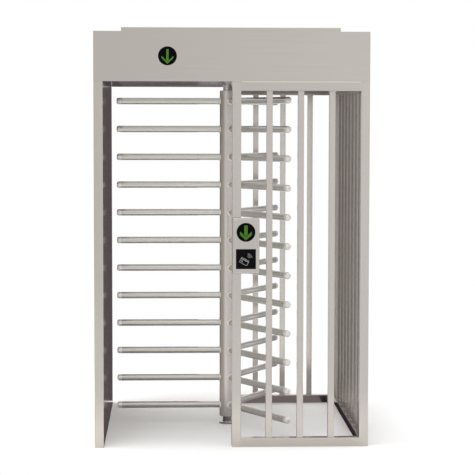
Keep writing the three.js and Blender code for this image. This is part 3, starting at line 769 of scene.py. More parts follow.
class Bench:
    """Finished materials and the one way that every piece is made."""

    def __init__(self, frame: dict[str, object]) -> None:
        """Builds the finishes.
        """
        self.nodes = frame["nodes"]
        effects = EffectLibrary()
        self.finishes = {finish.name: (finish.build(effects), slot)
                         for slot, finishes in FINISHES.items() for finish in finishes}

    def piece(self, name: str, mesh: BMesh, finish: str, body: Body = Body.FRAME,
              replaces: Sequence[str] = (), angle: float = SMOOTH_ANGLE) -> None:
        """Turns a mesh into a finished piece.

        Args:
            name: The piece's name.
            mesh: Its mesh, in place, which is used up.
            finish: The name of its finish.
            body: The body that it rides on.
            replaces: The frame's nodes that it stands for.
            angle: Edges sharper than this many degrees stay sharp.
        """
        bmesh.ops.recalc_face_normals(mesh, faces=mesh.faces)
        for face in mesh.faces:
            face.smooth = True
        for edge in mesh.edges:
            edge.smooth = len(edge.link_faces) == 2 and edge.calc_face_angle(0.0) < math.radians(angle)
        made = to_object(name, mesh)
        material, slot = self.finishes[finish]
        made.data.materials.append(material)
        made.modifiers.new("flat_faces", "WEIGHTED_NORMAL").keep_sharp = True
        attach(made, body.value)
        if replaces:
            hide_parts(*replaces)
        LOG.info("piece %s with %d faces", name, len(made.data.polygons))

    def dressed(self, node: str, finish: str, body: Body = Body.FRAME, edge: float = 0.0,
                angle: float = SMOOTH_ANGLE, overlap: float = 0.0) -> None:
        """Makes a smooth-shaded copy of a node, with its sharp edges broken.

        Args:
            node: The frame's node.
            finish: The name of its finish.
            body: The body that it rides on.
            edge: How far its sharp edges are rounded.
            angle: Edges sharper than this many degrees are rounded, or stay sharp.
            overlap: How far both of its ends along Y run on, where the welded joint is ground flush.
        """
        mesh = bmesh.new()
        mesh.from_mesh(self.nodes[node].data)
        if overlap > 0:
            for vert in mesh.verts:
                vert.co.y += math.copysign(overlap, vert.co.y)
        bmesh.ops.remove_doubles(mesh, verts=mesh.verts, dist=WELD_DISTANCE)
        flat = math.radians(FLAT_ANGLE)
        bmesh.ops.dissolve_limit(mesh, angle_limit=flat, verts=mesh.verts, edges=mesh.edges)
        if edge > 0:
            sharp = [side for side in mesh.edges
                     if len(side.link_faces) == 2 and side.calc_face_angle(0.0) > math.radians(angle)]
            bevel(mesh, sharp, edge, EDGE_STEPS, clamp=True)
        self.piece(f"{node}_dressed", mesh, finish, body, [node], angle)


# Sub-assemblies


def middle(node: str) -> Vector:
    """Gives the middle of a node's box."""
    low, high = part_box(node)
    return (low + high) / 2


def front_width(node: str) -> float:
    """Gives the width along X of a node's front face.

    Args:
        node: The frame's node.

    Returns:
        The width.
    """
    low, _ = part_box(node)
    front = low.y + FRONT_DEPTH
    across = [vert.co.x for vert in bpy.data.objects[node].data.vertices if vert.co.y < front]
    return max(across) - min(across)


@dataclass
class TubeFrame:
    """Square tubes of the cage and of the closed panel's posts, with the weld beads of the bars."""

    post_wall: float = 2.5 * MM
    post_radius: float = 3.5 * MM
    bar_wall: float = 2.0 * MM
    bar_radius: float = 2.5 * MM
    bead: float = 1.6 * MM
    bead_round_share: float = 0.8
    joint_gap: float = 0.3 * MM
    seam_height: float = 4.0 * MM
    seam_recess: float = 0.15 * MM
    seam_round_share: float = 0.3
    corner_steps: int = 5
    round_steps: int = 3
    upright_slope: float = 0.5
    posts: tuple[str, ...] = (
        "left_front_post", "left_rear_post", "cage_front_left_post", "cage_front_right_post",
        "cage_rear_left_post", "cage_rear_right_post", "cage_front_head_rail", "cage_rear_head_rail",
        "cage_side_head_rail", "cage_front_sill", "cage_rear_sill", "cage_side_sill",
    )
    bars: tuple[str, ...] = tuple(
        f"{side}_bar_{number}" for side, count in (("front", 3), ("rear", 3), ("side", 7))
        for number in range(1, count + 1)
    )

    def build(self, bench: Bench) -> None:
        """Makes every tube and bead.

        Args:
            bench: Where pieces are made.
        """
        for node in self.posts:
            overlap = 0.0 if node.endswith("post") else self.joint_gap + self.post_radius
            self._tube(bench, node, self.post_wall, self.post_radius, overlap)
        for node in self.bars:
            self._tube(bench, node, self.bar_wall, self.bar_radius, 0.0)
        beads = [self._bead(node, top) for node in self.bars for top in (False, True)]
        bench.piece("bar_weld_beads", gather(beads), "bar_weld", angle=WELD_ANGLE)
        # The head rails' seams are pale, a painted highlight along their top edge.
        seams = [self._seam(node) for node in self.posts if node.endswith("head_rail")]
        bench.piece("head_rail_highlight_seams", gather(seams), "seam", angle=WELD_ANGLE)

    def _tube(self, bench: Bench, node: str, wall: float, radius: float, overlap: float) -> None:
        """Makes one tube in the box of its node.

        Args:
            bench: Where pieces are made.
            node: The frame's node.
            wall: The tube's wall.
            radius: Its corner radius.
            overlap: How far both ends run on into their posts, where the welded joint is ground flush.
        """
        low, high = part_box(node)
        size = high - low
        longest = max(range(3), key=lambda axis: size[axis])
        start = (low + high) / 2
        start[longest] = low[longest] - overlap
        # Rear posts and bars take the lighter copy of the upright steel, which paints light onto them.
        upright = "satin_rear_painted_light" if node.startswith(("cage_rear", "rear")) else "satin_upright"
        width, depth, turn, finish = (
            # Sills take the darker copy of the cross steel, which paints shade at the floor.
            (size.z, size.y, ALONG_X, "satin_sill_painted_shade" if node.endswith("sill") else "satin_across"),
            (size.x, size.z, ALONG_Y, "satin_deep"),
            (size.x, size.y, Matrix.Identity(4), upright),
        )[longest]
        mesh = hollow_section(width, depth, wall, radius, size[longest] + 2 * overlap, self.corner_steps)
        move(mesh, Matrix.Translation(start) @ turn)
        bench.piece(f"{node}_tube", mesh, finish, replaces=[node], angle=ROUNDED_ANGLE)

    def _seam(self, node: str) -> BMesh:
        """Makes the polished seam, a painted highlight, that fills the groove between a head rail's outer
        edge and the header.

        Args:
            node: The rail's node.

        Returns:
            The seam's mesh, in place.
        """
        low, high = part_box(node)
        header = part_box("header_casing")
        across = 1 if high.x - low.x > high.y - low.y else 0
        side = 1 if high[across] > 0 else -1
        outer = header[side > 0][across] - side * self.seam_recess
        inner = outer - side * (self.seam_height - self.seam_recess)
        low.z, high.z = high.z - self.seam_height, header[0].z
        low[across], high[across] = sorted((outer, inner))
        mesh = block(low, high)
        crest = [edge for edge in mesh.edges
                 if all(abs(vert.co[across] - outer) < WELD_DISTANCE for vert in edge.verts)
                 and abs(edge.verts[0].co.z - edge.verts[1].co.z) < WELD_DISTANCE]
        bevel(mesh, crest, self.seam_height * self.seam_round_share, self.round_steps)
        return mesh

    def _bead(self, node: str, top: bool) -> BMesh:
        """Makes the weld bead round one end of a bar.

        Args:
            node: The bar's node.
            top: Whether it is the upper end.

        Returns:
            The bead's mesh, in place.
        """
        low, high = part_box(node)
        size = high - low
        leg = self.bead
        mesh = hollow_section(size.x + 2 * leg, size.y + 2 * leg, leg, self.bar_radius + leg, leg,
                              self.corner_steps)
        crest = [edge for edge in mesh.edges
                 if all(abs(vert.co.z - leg) < WELD_DISTANCE for vert in edge.verts)
                 and any(abs(face.normal.z) < self.upright_slope and self._outer(face, size)
                         for face in edge.link_faces)]
        bevel(mesh, crest, leg * self.bead_round_share, self.round_steps)
        place = (low + high) / 2
        place.z = high.z if top else low.z
        flip = Matrix.Rotation(math.pi, 4, "X") if top else Matrix.Identity(4)
        return move(mesh, Matrix.Translation(place) @ flip)

    def _outer(self, face: BMFace, size: Vector) -> bool:
        """Says whether an upright face of a bead is on its outside.

        Args:
            face: The face.
            size: The bar's size.

        Returns:
            True if it lies beyond the middle of the bead's leg.
        """
        centre = face.calc_center_median()
        past = [max(abs(centre[axis]) - size[axis] / 2 + self.bar_radius, 0.0) for axis in (0, 1)]
        return math.hypot(*past) > self.bar_radius + self.bead / 2


@dataclass
class HeaderBox:
    """The header's folded casing, its ceiling and the screwed lid."""

    lid_edge: float = 3.0 * MM
    lid_corner: float = 5.0 * MM
    lid_wall: float = 2.0 * MM
    screw_radius: float = 5.5 * MM
    screw_rise: float = 0.5 * MM
    screw_inset: float = 22.0 * MM
    screws_per_side: int = 5
    place_digits: int = 6
    head_steps: int = 24
    socket_sides: int = 6
    socket_share: float = 0.45

    def build(self, bench: Bench) -> None:
        """Makes the header's pieces.

        Args:
            bench: Where pieces are made.
        """
        bench.dressed("header_casing", "satin_sheet", angle=FOLDED_ANGLE)
        # The ceiling takes the darker copy of the sheet steel, which paints the shade under the header.
        bench.dressed("header_ceiling", "satin_ceiling_painted_shade", angle=FOLDED_ANGLE)
        low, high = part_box("lid")
        size = high - low
        centre = middle("lid")
        tray = rounded_tray((size.x, size.y, size.z - self.screw_rise), self.lid_corner, self.lid_edge,
                            self.lid_wall)
        bench.piece("lid_cover", move(tray, shifted(centre.x, centre.y, low.z)), "satin_sheet",
                    replaces=["lid"], angle=ROUNDED_ANGLE)
        reach = Vector((size.x / 2 - self.screw_inset, size.y / 2 - self.screw_inset))
        places = set()
        for step in range(self.screws_per_side):
            share = 2 * step / (self.screws_per_side - 1) - 1
            for side in (-1, 1):
                places.add((round(share * reach.x, self.place_digits), side * reach.y))
                places.add((side * reach.x, round(share * reach.y, self.place_digits)))
        level = high.z - self.screw_rise
        heads = [move(self._screw(), shifted(centre.x + x, centre.y + y, level)) for x, y in sorted(places)]
        bench.piece("lid_screws", gather(heads), "machined")

    def _screw(self) -> BMesh:
        """Makes one flush screw head with a hexagon socket, standing on the origin.

        Returns:
            The head's mesh.
        """
        mesh = bmesh.new()
        radius, rise, socket = self.screw_radius, self.screw_rise, self.screw_radius * self.socket_share

        def ring(steps: int, reach: float, level: float, capped: bool = False) -> list[BMVert]:
            """Adds one ring of the head at a level.

            Args:
                steps: How many sides it has.
                reach: Its radius.
                level: Its height.
                capped: Whether a face closes it.

            Returns:
                The ring's vertices.
            """
            made = bmesh.ops.create_circle(mesh, segments=steps, radius=reach, cap_ends=capped)["verts"]
            bmesh.ops.translate(mesh, verts=made, vec=(0.0, 0.0, level))
            return made

        rim = ring(self.head_steps, radius, 0.0)
        crown = ring(self.head_steps, radius - rise, rise)
        mouth = ring(self.socket_sides, socket, rise)
        floor = ring(self.socket_sides, socket, -rise, capped=True)
        for first, second in ((rim, crown), (crown, mouth), (mouth, floor)):
            loops = [edge for edge in mesh.edges
                     if any(all(vert in circle for vert in edge.verts) for circle in (first, second))]
            bmesh.ops.bridge_loops(mesh, edges=loops)
        return mesh


@dataclass
class ArrowLamp:
    """A round black lamp with a down arrow of small lights."""

    name: str
    node: str
    stem_width: float
    stem_top: float
    tip: float
    head_reach: float
    head_rise: float
    head_rows: int
    stem_rows: int
    pitch: float = 4.7 * MM
    least_gap_share: float = 0.86
    light_radius: float = 2.25 * MM
    light_rise: float = 0.9 * MM
    light_steps: int = 10
    bezel_width: float = 3.0 * MM
    bezel_height: float = 2.0 * MM
    dome: float = 0.8 * MM
    steps: int = 72
    round_steps: int = 6
    light_dome_steps: int = 3

    def build(self, bench: Bench) -> None:
        """Makes the bezel, the lens and the lights.

        Args:
            bench: Where pieces are made.
        """
        low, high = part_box(self.node)
        centre = (low + high) / 2
        place = shifted(centre.x, low.y, centre.z) @ TOWARDS_FRONT
        disc, back = front_width(self.node) / 2, low.y - high.y
        inner, half = disc - self.bezel_width, self.bezel_width / 2
        ring = turned([(inner, back), (disc, back), (disc, -self.bezel_height / 2),
                       *arc(disc - half, -half, half, 0, 180, self.round_steps), (inner, back)], self.steps)
        bench.piece(f"{self.name}_bezel", move(ring, place), "bezel", replaces=[self.node],
                    angle=FOLDED_ANGLE)
        dome = [(inner * across, self.dome * up - self.bezel_height)
                for across, up in arc(0, 0, 1, 0, 90, self.round_steps)]
        lens = turned([(inner, back / 2), *dome, (0.0, back / 2), (inner, back / 2)], self.steps)
        bench.piece(f"{self.name}_lens", move(lens, place), "lens", angle=FOLDED_ANGLE)
        face = self.dome - self.bezel_height
        sunk = max(face + self.light_rise, 0.0)
        lights = [move(self._light(), place @ shifted(x, y, face - sunk)) for x, y in self._places()]
        bench.piece(f"{self.name}_lights", gather(lights), "arrow_light", angle=WELD_ANGLE)

    def _light(self) -> BMesh:
        """Makes one small light, a low dome on the origin.

        Returns:
            The light's mesh.
        """
        radius, rise = self.light_radius, self.light_rise
        dome = [(radius * across, rise * up)
                for across, up in arc(0, 0, 1, 0, 90, self.light_dome_steps)[1:-1]]
        return turned([(radius, -rise), (radius, 0.0), *dome, (0.0, rise)], self.light_steps)

    def _places(self) -> list[tuple[float, float]]:
        """Works out where the lights of the arrow sit.

        Returns:
            Their places, with X to the right and Y up.
        """
        found: list[tuple[float, float]] = []
        slope = math.atan2(self.head_rise - self.tip, self.head_reach)
        length = math.hypot(self.head_reach, self.head_rise - self.tip)
        for row in range(self.head_rows):
            foot = self.tip + row * self.pitch / math.cos(slope)
            for step in range(round(length / self.pitch) + 1):
                along = step * self.pitch
                found += [(side * along * math.cos(slope), foot + along * math.sin(slope))
                          for side in (-1, 1)]
        for column in range(self.stem_rows):
            across = (column - (self.stem_rows - 1) / 2) * self.stem_width / self.stem_rows
            steps = round((self.stem_top - self.tip) / self.pitch)
            found += [(across, self.stem_top - step * self.pitch) for step in range(steps)]
        kept: list[tuple[float, float]] = []
        for spot in found:
            if all(math.dist(spot, other) > self.pitch * self.least_gap_share for other in kept):
                kept.append(spot)
        return kept


@dataclass
class ReaderBox:
    """The reader on the front cage post: shell, back plate, window and its plain pictogram."""

    corner: float = 8.0 * MM
    edge: float = 6.5 * MM
    wall: float = 2.0 * MM
    seat: float = 0.3 * MM
    plate_edge: float = 0.4 * MM
    lamp_steps: int = 72
    shell_steps: int = 6
    window_steps: int = 3
    window_corner: float = 1.5 * MM
    window_edge: float = 0.8 * MM
    window_depth: float = 4.0 * MM
    card_width: float = 46.0 * MM
    card_height: float = 30.0 * MM
    card_corner: float = 4.0 * MM
    card_tilt: float = -28.0
    card_place: tuple[float, float] = (-9.0 * MM, -13.0 * MM)
    stripe_wall_share: float = 0.49
    stripe_rise_share: float = 1 / 4
    chip_size_shares: tuple[float, float] = (1 / 5, 1 / 6)
    chip_place_shares: tuple[float, float] = (-1 / 4, -1 / 6)
    wave_place: tuple[float, float] = (8.0 * MM, 4.0 * MM)
    wave_radii: tuple[float, ...] = (9.0 * MM, 17.0 * MM, 25.0 * MM)
    wave_start: float = 8.0
    wave_turn: float = 76.0
    wave_steps: int = 14
    line: float = 1.2 * MM
    relief: float = 0.25 * MM

    def build(self, bench: Bench) -> None:
        """Makes the reader's pieces.

        Args:
            bench: Where pieces are made.
        """
        low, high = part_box("reader_housing")
        size = high - low
        centre = middle("reader_housing")
        shell = rounded_tray((size.x, size.z, size.y), self.corner, self.edge, self.wall, self.shell_steps)
        move(shell, shifted(centre.x, high.y, centre.z) @ TOWARDS_FRONT)
        bench.piece("reader_shell", cut(shell, self._openings(low.y)), "satin_shell",
                    replaces=["reader_housing"], angle=ROUNDED_ANGLE)
        bench.dressed("reader_back_plate", "satin_shell", edge=self.plate_edge)
        side = front_width("card_reader")
        centre = middle("card_reader")
        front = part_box("card_reader")[0].y + self.relief
        window = rounded_tray((side, side, self.window_depth), self.window_corner, self.window_edge,
                              self.wall, self.window_steps)
        move(window, shifted(centre.x, front + self.window_depth, centre.z) @ TOWARDS_FRONT)
        bench.piece("reader_window", window, "window", replaces=["card_reader"], angle=ROUNDED_ANGLE)
        sign = move(self._pictogram(), shifted(centre.x, front, centre.z) @ TOWARDS_FRONT)
        bench.piece("reader_pictogram", sign, "print")

    def _openings(self, face: float) -> list[BMesh]:
        """Makes the cutters for the lamp's and the window's openings.

        Args:
            face: Where the shell's front lies along Y.

        Returns:
            Two closed meshes, in place.
        """
        reach = 3 * self.wall
        lamp, window = middle("reader_arrow_display"), middle("card_reader")
        radius = front_width("reader_arrow_display") / 2 + self.seat
        rod = turned([(0.0, -reach), (radius, -reach), (radius, reach), (0.0, reach)], self.lamp_steps)
        half = front_width("card_reader") / 2 + self.seat
        return [move(rod, shifted(lamp.x, face, lamp.z) @ ALONG_Y),
                block((window.x - half, face - reach, window.z - half),
                      (window.x + half, face + reach, window.z + half))]

    def _pictogram(self) -> BMesh:
        """Makes a plain card outline with three waves beside it, raised from the window's face.

        Returns:
            The pictogram's mesh, facing +Z.
        """
        line, relief, width, height = self.line, self.relief, self.card_width, self.card_height
        tilt = shifted(*self.card_place) @ Matrix.Rotation(math.radians(self.card_tilt), 4, "Z")
        stripe = 2 * line
        card = hollow_section(width, height, line, self.card_corner, relief)
        band = hollow_section(width - 2 * line, stripe, self.stripe_wall_share * stripe, 0.0, relief)
        chip = hollow_section(*(width * share for share in self.chip_size_shares), line, line, relief)
        left, down = self.chip_place_shares
        parts = [move(card, tilt), move(band, tilt @ shifted(0.0, height * self.stripe_rise_share)),
                 move(chip, tilt @ shifted(width * left, height * down))]
        place = shifted(*self.wave_place) @ Matrix.Rotation(math.radians(self.wave_start), 4, "Z")
        for radius in self.wave_radii:
            outer = radius + line
            section = [(radius, 0.0), (outer, 0.0), (outer, relief), (radius, relief), (radius, 0.0)]
            wave = turned(section, self.wave_steps, self.wave_turn)
            bmesh.ops.holes_fill(wave, edges=wave.edges)
            parts.append(move(wave, place))
        return gather(parts)


@dataclass
class Rotor:
    """The pole with its three wings of arms, its neck and the floor pivot."""

    pole_radius: float = 44.5 * MM
    pole_wall: float = 3.0 * MM
    pole_lip: float = 1.0 * MM
    arm_radius: float = 19.0 * MM
    arm_rows: int = 12
    foot_margin: float = 67.0 * MM
    top_margin: float = 62.0 * MM
    cap_length: float = 27.0 * MM
    groove: float = 0.5 * MM
    tip_radius: float = 11.0 * MM
    bead_radius: float = 3.0 * MM
    bead_lift_share: float = 0.2
    wings: tuple[tuple[str, float], ...] = (("left", 180.0), ("front", 300.0), ("rear", 60.0))
    pivot_edge: float = 2.5 * MM
    pivot_flange: float = 10.0 * MM
    pivot_boss: float = 25.0 * MM
    pivot_boss_top: float = 44.5 * MM
    pivot_spigot: float = 18.0 * MM
    tip_steps: int = 8
    ring_steps: int = 8
    pivot_edge_steps: int = 5
    pivot_root_steps: int = 4
    pole_steps: int = 96
    arm_steps: int = 40
    bead_steps: int = 36

    def build(self, bench: Bench) -> None:
        """Makes the rotor's pieces.

        Args:
            bench: Where pieces are made.
        """
        low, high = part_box("rotor_column")
        radius, lip, bore = self.pole_radius, self.pole_lip, self.pole_radius - self.pole_wall
        pole = turned(
            [(bore, low.z), (radius - lip, low.z), (radius, low.z + lip), (radius, high.z - lip),
             (radius - lip, high.z), (bore, high.z), (bore, low.z)], self.pole_steps)
        bench.piece("rotor_pole", pole, "pole", Body.ROTOR, ["rotor_column"])
        first = low.z + self.foot_margin
        rise = (high.z - low.z - self.foot_margin - self.top_margin) / (self.arm_rows - 1)
        beads = []
        for wing, bearing in self.wings:
            turn = Matrix.Rotation(math.radians(bearing), 4, "Z")
            places = [turn @ shifted(0.0, 0.0, first + row * rise) for row in range(self.arm_rows)]
            # Caps take the lighter copy of the arm steel, which paints a highlight on the tips.
            for kind, profile in (("arms", self._arm(-low.x)), ("caps_painted_highlight", self._cap(-low.x))):
                made = [move(turned(profile, self.arm_steps), place @ ALONG_X) for place in places]
                bench.piece(f"wing_{wing}_{kind}", gather(made), kind, Body.ROTOR)
            beads += [move(self._bead(), place) for place in places]
        # The arm beads take the pale weld finish, which paints their highlight.
        bench.piece("arm_weld_beads_painted_highlight", gather(beads), "weld", Body.ROTOR, angle=WELD_ANGLE)
        bench.dressed("rotor_shaft", "machined", Body.ROTOR, angle=ROUNDED_ANGLE)
        bench.piece("floor_pivot_turned", self._pivot(), "machined", replaces=["floor_pivot"])

    def _arm(self, reach: float) -> Profile:
        """Gives the profile of an arm, from inside the pole's wall to its cap.

        Args:
            reach: The distance of its tip from the pole's axis.

        Returns:
            Its pairs of radius and distance.
        """
        radius, groove, seam = self.arm_radius, self.groove, reach - self.cap_length
        root = math.sqrt(self.pole_radius ** 2 - radius ** 2)
        return [(0.0, root), (radius, root), (radius, seam - groove), (radius - groove, seam), (0.0, seam)]

    def _cap(self, reach: float) -> Profile:
        """Gives the profile of the rounded cap at an arm's tip.

        Args:
            reach: The distance of its tip from the pole's axis.

        Returns:
            Its pairs of radius and distance.
        """
        radius, groove, fillet = self.arm_radius, self.groove, self.tip_radius
        seam = reach - self.cap_length
        return [(0.0, seam), (radius - groove, seam), (radius, seam + groove),
                *arc(radius - fillet, reach - fillet, fillet, 0, 90, self.tip_steps), (0.0, reach)]

    def _bead(self) -> BMesh:
        """Makes the weld bead where an arm along +X meets the pole, following the saddle.

        Returns:
            The bead's mesh.
        """
        centre = self.arm_radius + self.bead_radius * self.bead_lift_share
        outline = arc(centre, 0.0, self.bead_radius, 0, 360, self.ring_steps)
        ring = move(turned([*outline[:-1], outline[0]], self.bead_steps), ALONG_X)
        for vert in ring.verts:
            vert.co.x += math.sqrt(max(self.pole_radius ** 2 - vert.co.y ** 2, 0.0))
        return ring

    def _pivot(self) -> BMesh:
        """Makes the turned floor pivot with its rounded flange.

        Returns:
            The pivot's mesh, in place.
        """
        low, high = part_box("floor_pivot")
        edge, flange, boss, spigot = self.pivot_edge, self.pivot_flange, self.pivot_boss, self.pivot_spigot
        boss_top = low.z + self.pivot_boss_top
        return turned(
            [(0.0, low.z), (high.x, low.z),
             *arc(high.x - edge, flange - edge, edge, 0, 90, self.pivot_edge_steps),
             *arc(boss + edge, flange + edge, edge, 270, 180, self.pivot_root_steps),
             (boss, boss_top), (spigot, boss_top), (spigot, high.z), (0.0, high.z)], self.pole_steps)


@dataclass
class PanelAndWorks:
    """The closed panel's skins and everything inside the header."""

    skin_overlap: float = 3.8 * MM
    box_edge: float = 0.8 * MM
    skins: tuple[str, ...] = ("left_inner_skin", "left_outer_skin")
    works: tuple[tuple[str, Body, tuple[str, ...]], ...] = (
        ("satin_deep", Body.FRAME, ("left_sill", "left_head_rail")),
        ("zinc", Body.FRAME, ("left_stiffener", "front_crossmember", "rear_crossmember", "bearing_plate",
                              "entry_solenoid", "exit_solenoid", "power_supply")),
        ("casting", Body.FRAME, ("upper_bearing_housing", "damper_body")),
        ("machined", Body.FRAME, ("upper_bearing",)),
        ("machined", Body.ROTOR, ("shaft_collar", "ratchet_wheel", "drive_gear")),
        ("machined", Body.PINION, ("damper_pinion",)),
        ("machined", Body.ENTRY_PAWL, ("entry_pawl",)),
        ("machined", Body.EXIT_PAWL, ("exit_pawl",)),
        ("machined", Body.ENTRY_PLUNGER, ("entry_plunger",)),
        ("machined", Body.EXIT_PLUNGER, ("exit_plunger",)),
        ("bronze", Body.ROTOR, ("lower_bush",)),
    )

    def build(self, bench: Bench) -> None:
        """Dresses every node that keeps the frame's shape.

        Args:
            bench: Where pieces are made.
        """
        for node in self.skins:
            bench.dressed(node, "satin_panel", overlap=self.skin_overlap)
        for finish, body, nodes in self.works:
            for node in nodes:
                bench.dressed(node, finish, body)
        bench.dressed("control_box", "enamel", edge=self.box_edge)


# Studio


@dataclass(frozen=True)
class Lamp:
    """A soft square lamp that neither the camera nor metal shows."""

    name: str
    place: Point
    target: Point
    side: float
    power: float

    def build(self) -> None:
        """Hangs the lamp."""
        data = bpy.data.lights.new(self.name, "AREA")
        data.shape = "SQUARE"
        data.size = self.side
        data.energy = self.power
        lamp = bpy.data.objects.new(self.name, data)
        aim = Vector(self.target) - Vector(self.place)
        turn = aim.to_track_quat("-Z", "Y").to_matrix().to_4x4()
        lamp.matrix_world = Matrix.Translation(self.place) @ turn
        lamp.visible_camera = False
        lamp.visible_glossy = False
        bpy.context.scene.collection.objects.link(lamp)


@dataclass(frozen=True)
class Card:
    """A card of one colour that only reflections show: a painted reflection, of shade where it is dark and
    of light where it is pale.

    The last two fields say how many reflections in a row still show it, and how near a surface has to
    be so that it doesn't show.
    """

    name: str
    low: Point
    high: Point
    colour: Point
    bounces: int = 1
    clearance: float = 0.0

    def build(self) -> None:
        """Sets up the card."""
        mesh = bmesh.new()
        bmesh.ops.create_grid(mesh, x_segments=1, y_segments=1, size=0.5)
        if self.high[2] > self.low[2]:
            move(mesh, TOWARDS_FRONT)
        sides = list(zip(self.low, self.high))
        bmesh.ops.scale(mesh, vec=[max(top - foot, MM) for foot, top in sides], verts=mesh.verts)
        bmesh.ops.translate(mesh, vec=[(top + foot) / 2 for foot, top in sides], verts=mesh.verts)
        card = to_object(self.name, mesh)
        card.visible_camera = False
        card.visible_diffuse = False
        card.visible_transmission = False
        card.visible_shadow = False
        material, tree = new_material(self.name)
        path = tree.add("LightPath").outputs
        again = tree.maths("GREATER_THAN", path["Glossy Depth"], self.bounces + HALF_COUNT)
        beside = tree.maths("LESS_THAN", path["Ray Length"], self.clearance)
        tree.mix_out("Material", tree.maths("MAXIMUM", again, beside),
                     tree.add("Emission", {"Color": rgba(self.colour), "Strength": 1.0}),
                     tree.add("BsdfTransparent"))
        card.data.materials.append(material)


WHITE = (1.0, 1.0, 1.0, 1.0)
# The colour of the painted shade that the dark cards show in reflections.
SHADE_CARD_COLOUR = (0.10, 0.078, 0.084)
BEHIND = 0.80
CARD_FRONT = -0.70
FLOOR_BACK = 0.75
CEILING_BACK = 0.70
FLOOR_LEVEL = 0.003
CEILING_LEVEL = 1.9995
WALL_CLEARANCE = 0.12
CEILING_CLEARANCE = 0.05


def wall_card(name: str, left: float, right: float, foot: float, top: float, bounces: int,
              colour: Point) -> Card:
    """Gives a card that stands behind the turnstile."""
    return Card(name, (left, BEHIND, foot), (right, BEHIND, top), colour, bounces, WALL_CLEARANCE)


def floor_card(name: str, left: float, right: float, colour: Point) -> Card:
    """Gives a card that lies on the floor inside the turnstile."""
    return Card(name, (left, CARD_FRONT, FLOOR_LEVEL), (right, FLOOR_BACK, FLOOR_LEVEL), colour)


def ceiling_reflection_card(name: str, left: float, right: float, colour: Point) -> Card:
    """Gives a card that hangs under the header's ceiling."""
    low, high = (left, CARD_FRONT, CEILING_LEVEL), (right, CEILING_BACK, CEILING_LEVEL)
    return Card(name, low, high, colour, clearance=CEILING_CLEARANCE)


# The dark cards paint shade into the reflections of the inner skins, the ceiling, the bars and the floor
# inside the frame.
LIGHTING: tuple[Lamp | Card, ...] = (
    Lamp("overhead_lamp", (-1.2, -0.8, 6.0), (0.0, 0.0, 0.0), 6.0, 190.0),
    Lamp("front_lamp", (-2.0, -7.5, 4.5), (0.0, 0.0, 0.5), 4.0, 60.0),
    wall_card("skin_shade_card", -0.74, -0.15, FLOOR_LEVEL, 2.06, 2, SHADE_CARD_COLOUR),
    wall_card("ceiling_shade_card", -0.15, 0.02, 1.88, 2.06, 2, SHADE_CARD_COLOUR),
    wall_card("bars_shade_card", 0.42, 0.74, FLOOR_LEVEL, 2.06, 2, (0.26, 0.225, 0.24)),
    wall_card("side_shade_card", 0.74, 0.95, FLOOR_LEVEL, 1.985, 4, SHADE_CARD_COLOUR),
    floor_card("passage_shade_card", -0.70, 0.06, SHADE_CARD_COLOUR),
    floor_card("cage_shade_card", 0.06, 0.63, (0.29, 0.245, 0.27)),
    # A pale card under the header's ceiling: a painted reflection of light in the arms.
    ceiling_reflection_card("ceiling_reflection_card", -0.62, 0.05, (0.80, 0.79, 0.77)),
    ceiling_reflection_card("cage_ceiling_shade_card", 0.05, 0.70, SHADE_CARD_COLOUR),
    floor_card("corner_shade_card", 0.63, 0.70, (0.03, 0.02, 0.026)),
)


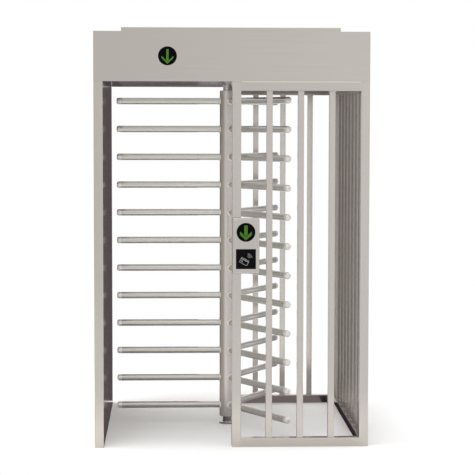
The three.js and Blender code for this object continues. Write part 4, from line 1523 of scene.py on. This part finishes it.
@dataclass
class Studio:
    """Floor, lamps, background and the camera at the photograph's viewing angle."""

    frame_pixels: float = 475.0
    sensor_mm: float = 36.0
    focal_pixels: float = 1681.29
    clip_end: float = 200.0
    eye: Point = (-0.34211, -9.87523, 1.77834)
    yaw: float = 0.04074
    pitch: float = 0.06826
    roll: float = 0.00152
    floor_side: float = 16.0
    floor_bounces: int = 1
    floor_colour: Point = (0.93, 0.925, 0.92)
    side_shadow_reach: tuple[float, float] = (0.76, 1.05)
    shadow_reach: tuple[float, float] = (1.25, 2.6)
    ambient: float = 1.16
    ambient_colour: Point = (1.0, 0.995, 0.985)
    ambient_reach: tuple[float, float] = (-0.6, 0.6)
    ambient_grade: tuple[float, float] = (1.20, 0.76)
    grade_reach: tuple[float, float] = (-0.06, 0.14)
    grade: tuple[float, float] = (0.84, 1.04)
    lift_reach: tuple[float, float] = (0.15, 0.75)
    lift: float = 1.6

    def build(self) -> None:
        """Makes the whole studio."""
        self._camera()
        self._world()
        self._floor()
        for piece in LIGHTING:
            piece.build()

    def _camera(self) -> None:
        """Sets the camera from its eye point and its three angles."""
        data = bpy.data.cameras.new("view")
        data.sensor_width = self.sensor_mm
        data.sensor_fit = "HORIZONTAL"
        data.lens = self.focal_pixels * self.sensor_mm / self.frame_pixels
        data.clip_end = self.clip_end
        flat = math.cos(self.pitch)
        ahead = Vector((math.sin(self.yaw) * flat, math.cos(self.yaw) * flat, -math.sin(self.pitch)))
        right = Vector((math.cos(self.yaw), -math.sin(self.yaw), 0.0))
        up = right.cross(ahead)
        across = math.cos(self.roll) * right + math.sin(self.roll) * up
        top = -math.sin(self.roll) * right + math.cos(self.roll) * up
        camera = bpy.data.objects.new("view", data)
        turn = Matrix((across, top, -ahead)).transposed().to_4x4()
        camera.matrix_world = Matrix.Translation(self.eye) @ turn
        bpy.context.scene.collection.objects.link(camera)
        bpy.context.scene.camera = camera

    def _world(self) -> None:
        """Shows white to the camera and to reflections, and lights the rest evenly."""
        world = bpy.data.worlds.new("studio")
        world.use_nodes = True
        bpy.context.scene.world = world
        tree = Tree(world.node_tree)
        path, seen = tree.seen()
        way = tree.add("SeparateXYZ", {0: tree.add("TexCoord").outputs["Generated"]}).outputs
        slope = tree.remap(way["X"], *self.grade_reach, *self.grade)
        lift = tree.remap(way["Z"], *self.lift_reach, 1.0, self.lift)
        shine = tree.maths("MULTIPLY", slope, lift)
        shine = tree.add("Mix", {0: path["Is Camera Ray"], 2: shine, 3: 1.0}).outputs[0]
        side = tree.remap(way["X"], *self.ambient_reach, *self.ambient_grade)
        glow = tree.maths("MULTIPLY", side, self.ambient)
        tree.mix_out("World", seen,
                     tree.add("Background", {"Color": rgba(self.ambient_colour), "Strength": glow}),
                     tree.add("Background", {"Color": WHITE, "Strength": shine}))

    def _floor(self) -> None:
        """Lays the pale floor."""
        mesh = bmesh.new()
        bmesh.ops.create_grid(mesh, x_segments=1, y_segments=1, size=self.floor_side / 2)
        made = to_object("floor", mesh)
        material, tree = new_material("pale_floor")
        path, seen = tree.seen()
        away = tree.add("SeparateXYZ", {0: tree.add("TexCoord").outputs["Object"]}).outputs
        aside = tree.remap(tree.maths("ABSOLUTE", away["X"]), *self.side_shadow_reach)
        ahead = tree.remap(tree.maths("ABSOLUTE", away["Y"]), *self.shadow_reach)
        again = tree.maths("GREATER_THAN", path["Glossy Depth"], self.floor_bounces + HALF_COUNT)
        fade = tree.maths("MAXIMUM", tree.maths("MAXIMUM", aside, ahead), again)
        tree.mix_out("Material", tree.maths("MULTIPLY", seen, fade),
                     tree.add("BsdfDiffuse", {"Color": rgba(self.floor_colour)}),
                     tree.add("Emission", {"Color": WHITE, "Strength": 1.0}))
        made.data.materials.append(material)


HEADER_ARROW = ArrowLamp("header_lamp", "header_arrow_display", stem_width=13 * MM, stem_top=34 * MM,
                         tip=-40 * MM, head_reach=29 * MM, head_rise=-12 * MM, head_rows=2, stem_rows=3)
READER_ARROW = ArrowLamp("reader_lamp", "reader_arrow_display", stem_width=19 * MM, stem_top=35 * MM,
                         tip=-41 * MM, head_reach=30 * MM, head_rise=-13 * MM, head_rows=3, stem_rows=4)


def main() -> None:
    """Builds the turnstile's looks and its studio, in order."""
    logging.basicConfig(level=logging.INFO, format="%(message)s")
    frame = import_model()
    bpy.context.scene.view_settings.view_transform = "Standard"
    bench = Bench(frame)
    parts = (TubeFrame(), PanelAndWorks(), HeaderBox(), HEADER_ARROW, ReaderBox(), READER_ARROW, Rotor())
    for part in parts:
        LOG.info("building %s", type(part).__name__)
        part.build(bench)
    Studio().build()


if __name__ == "__main__":
    main()
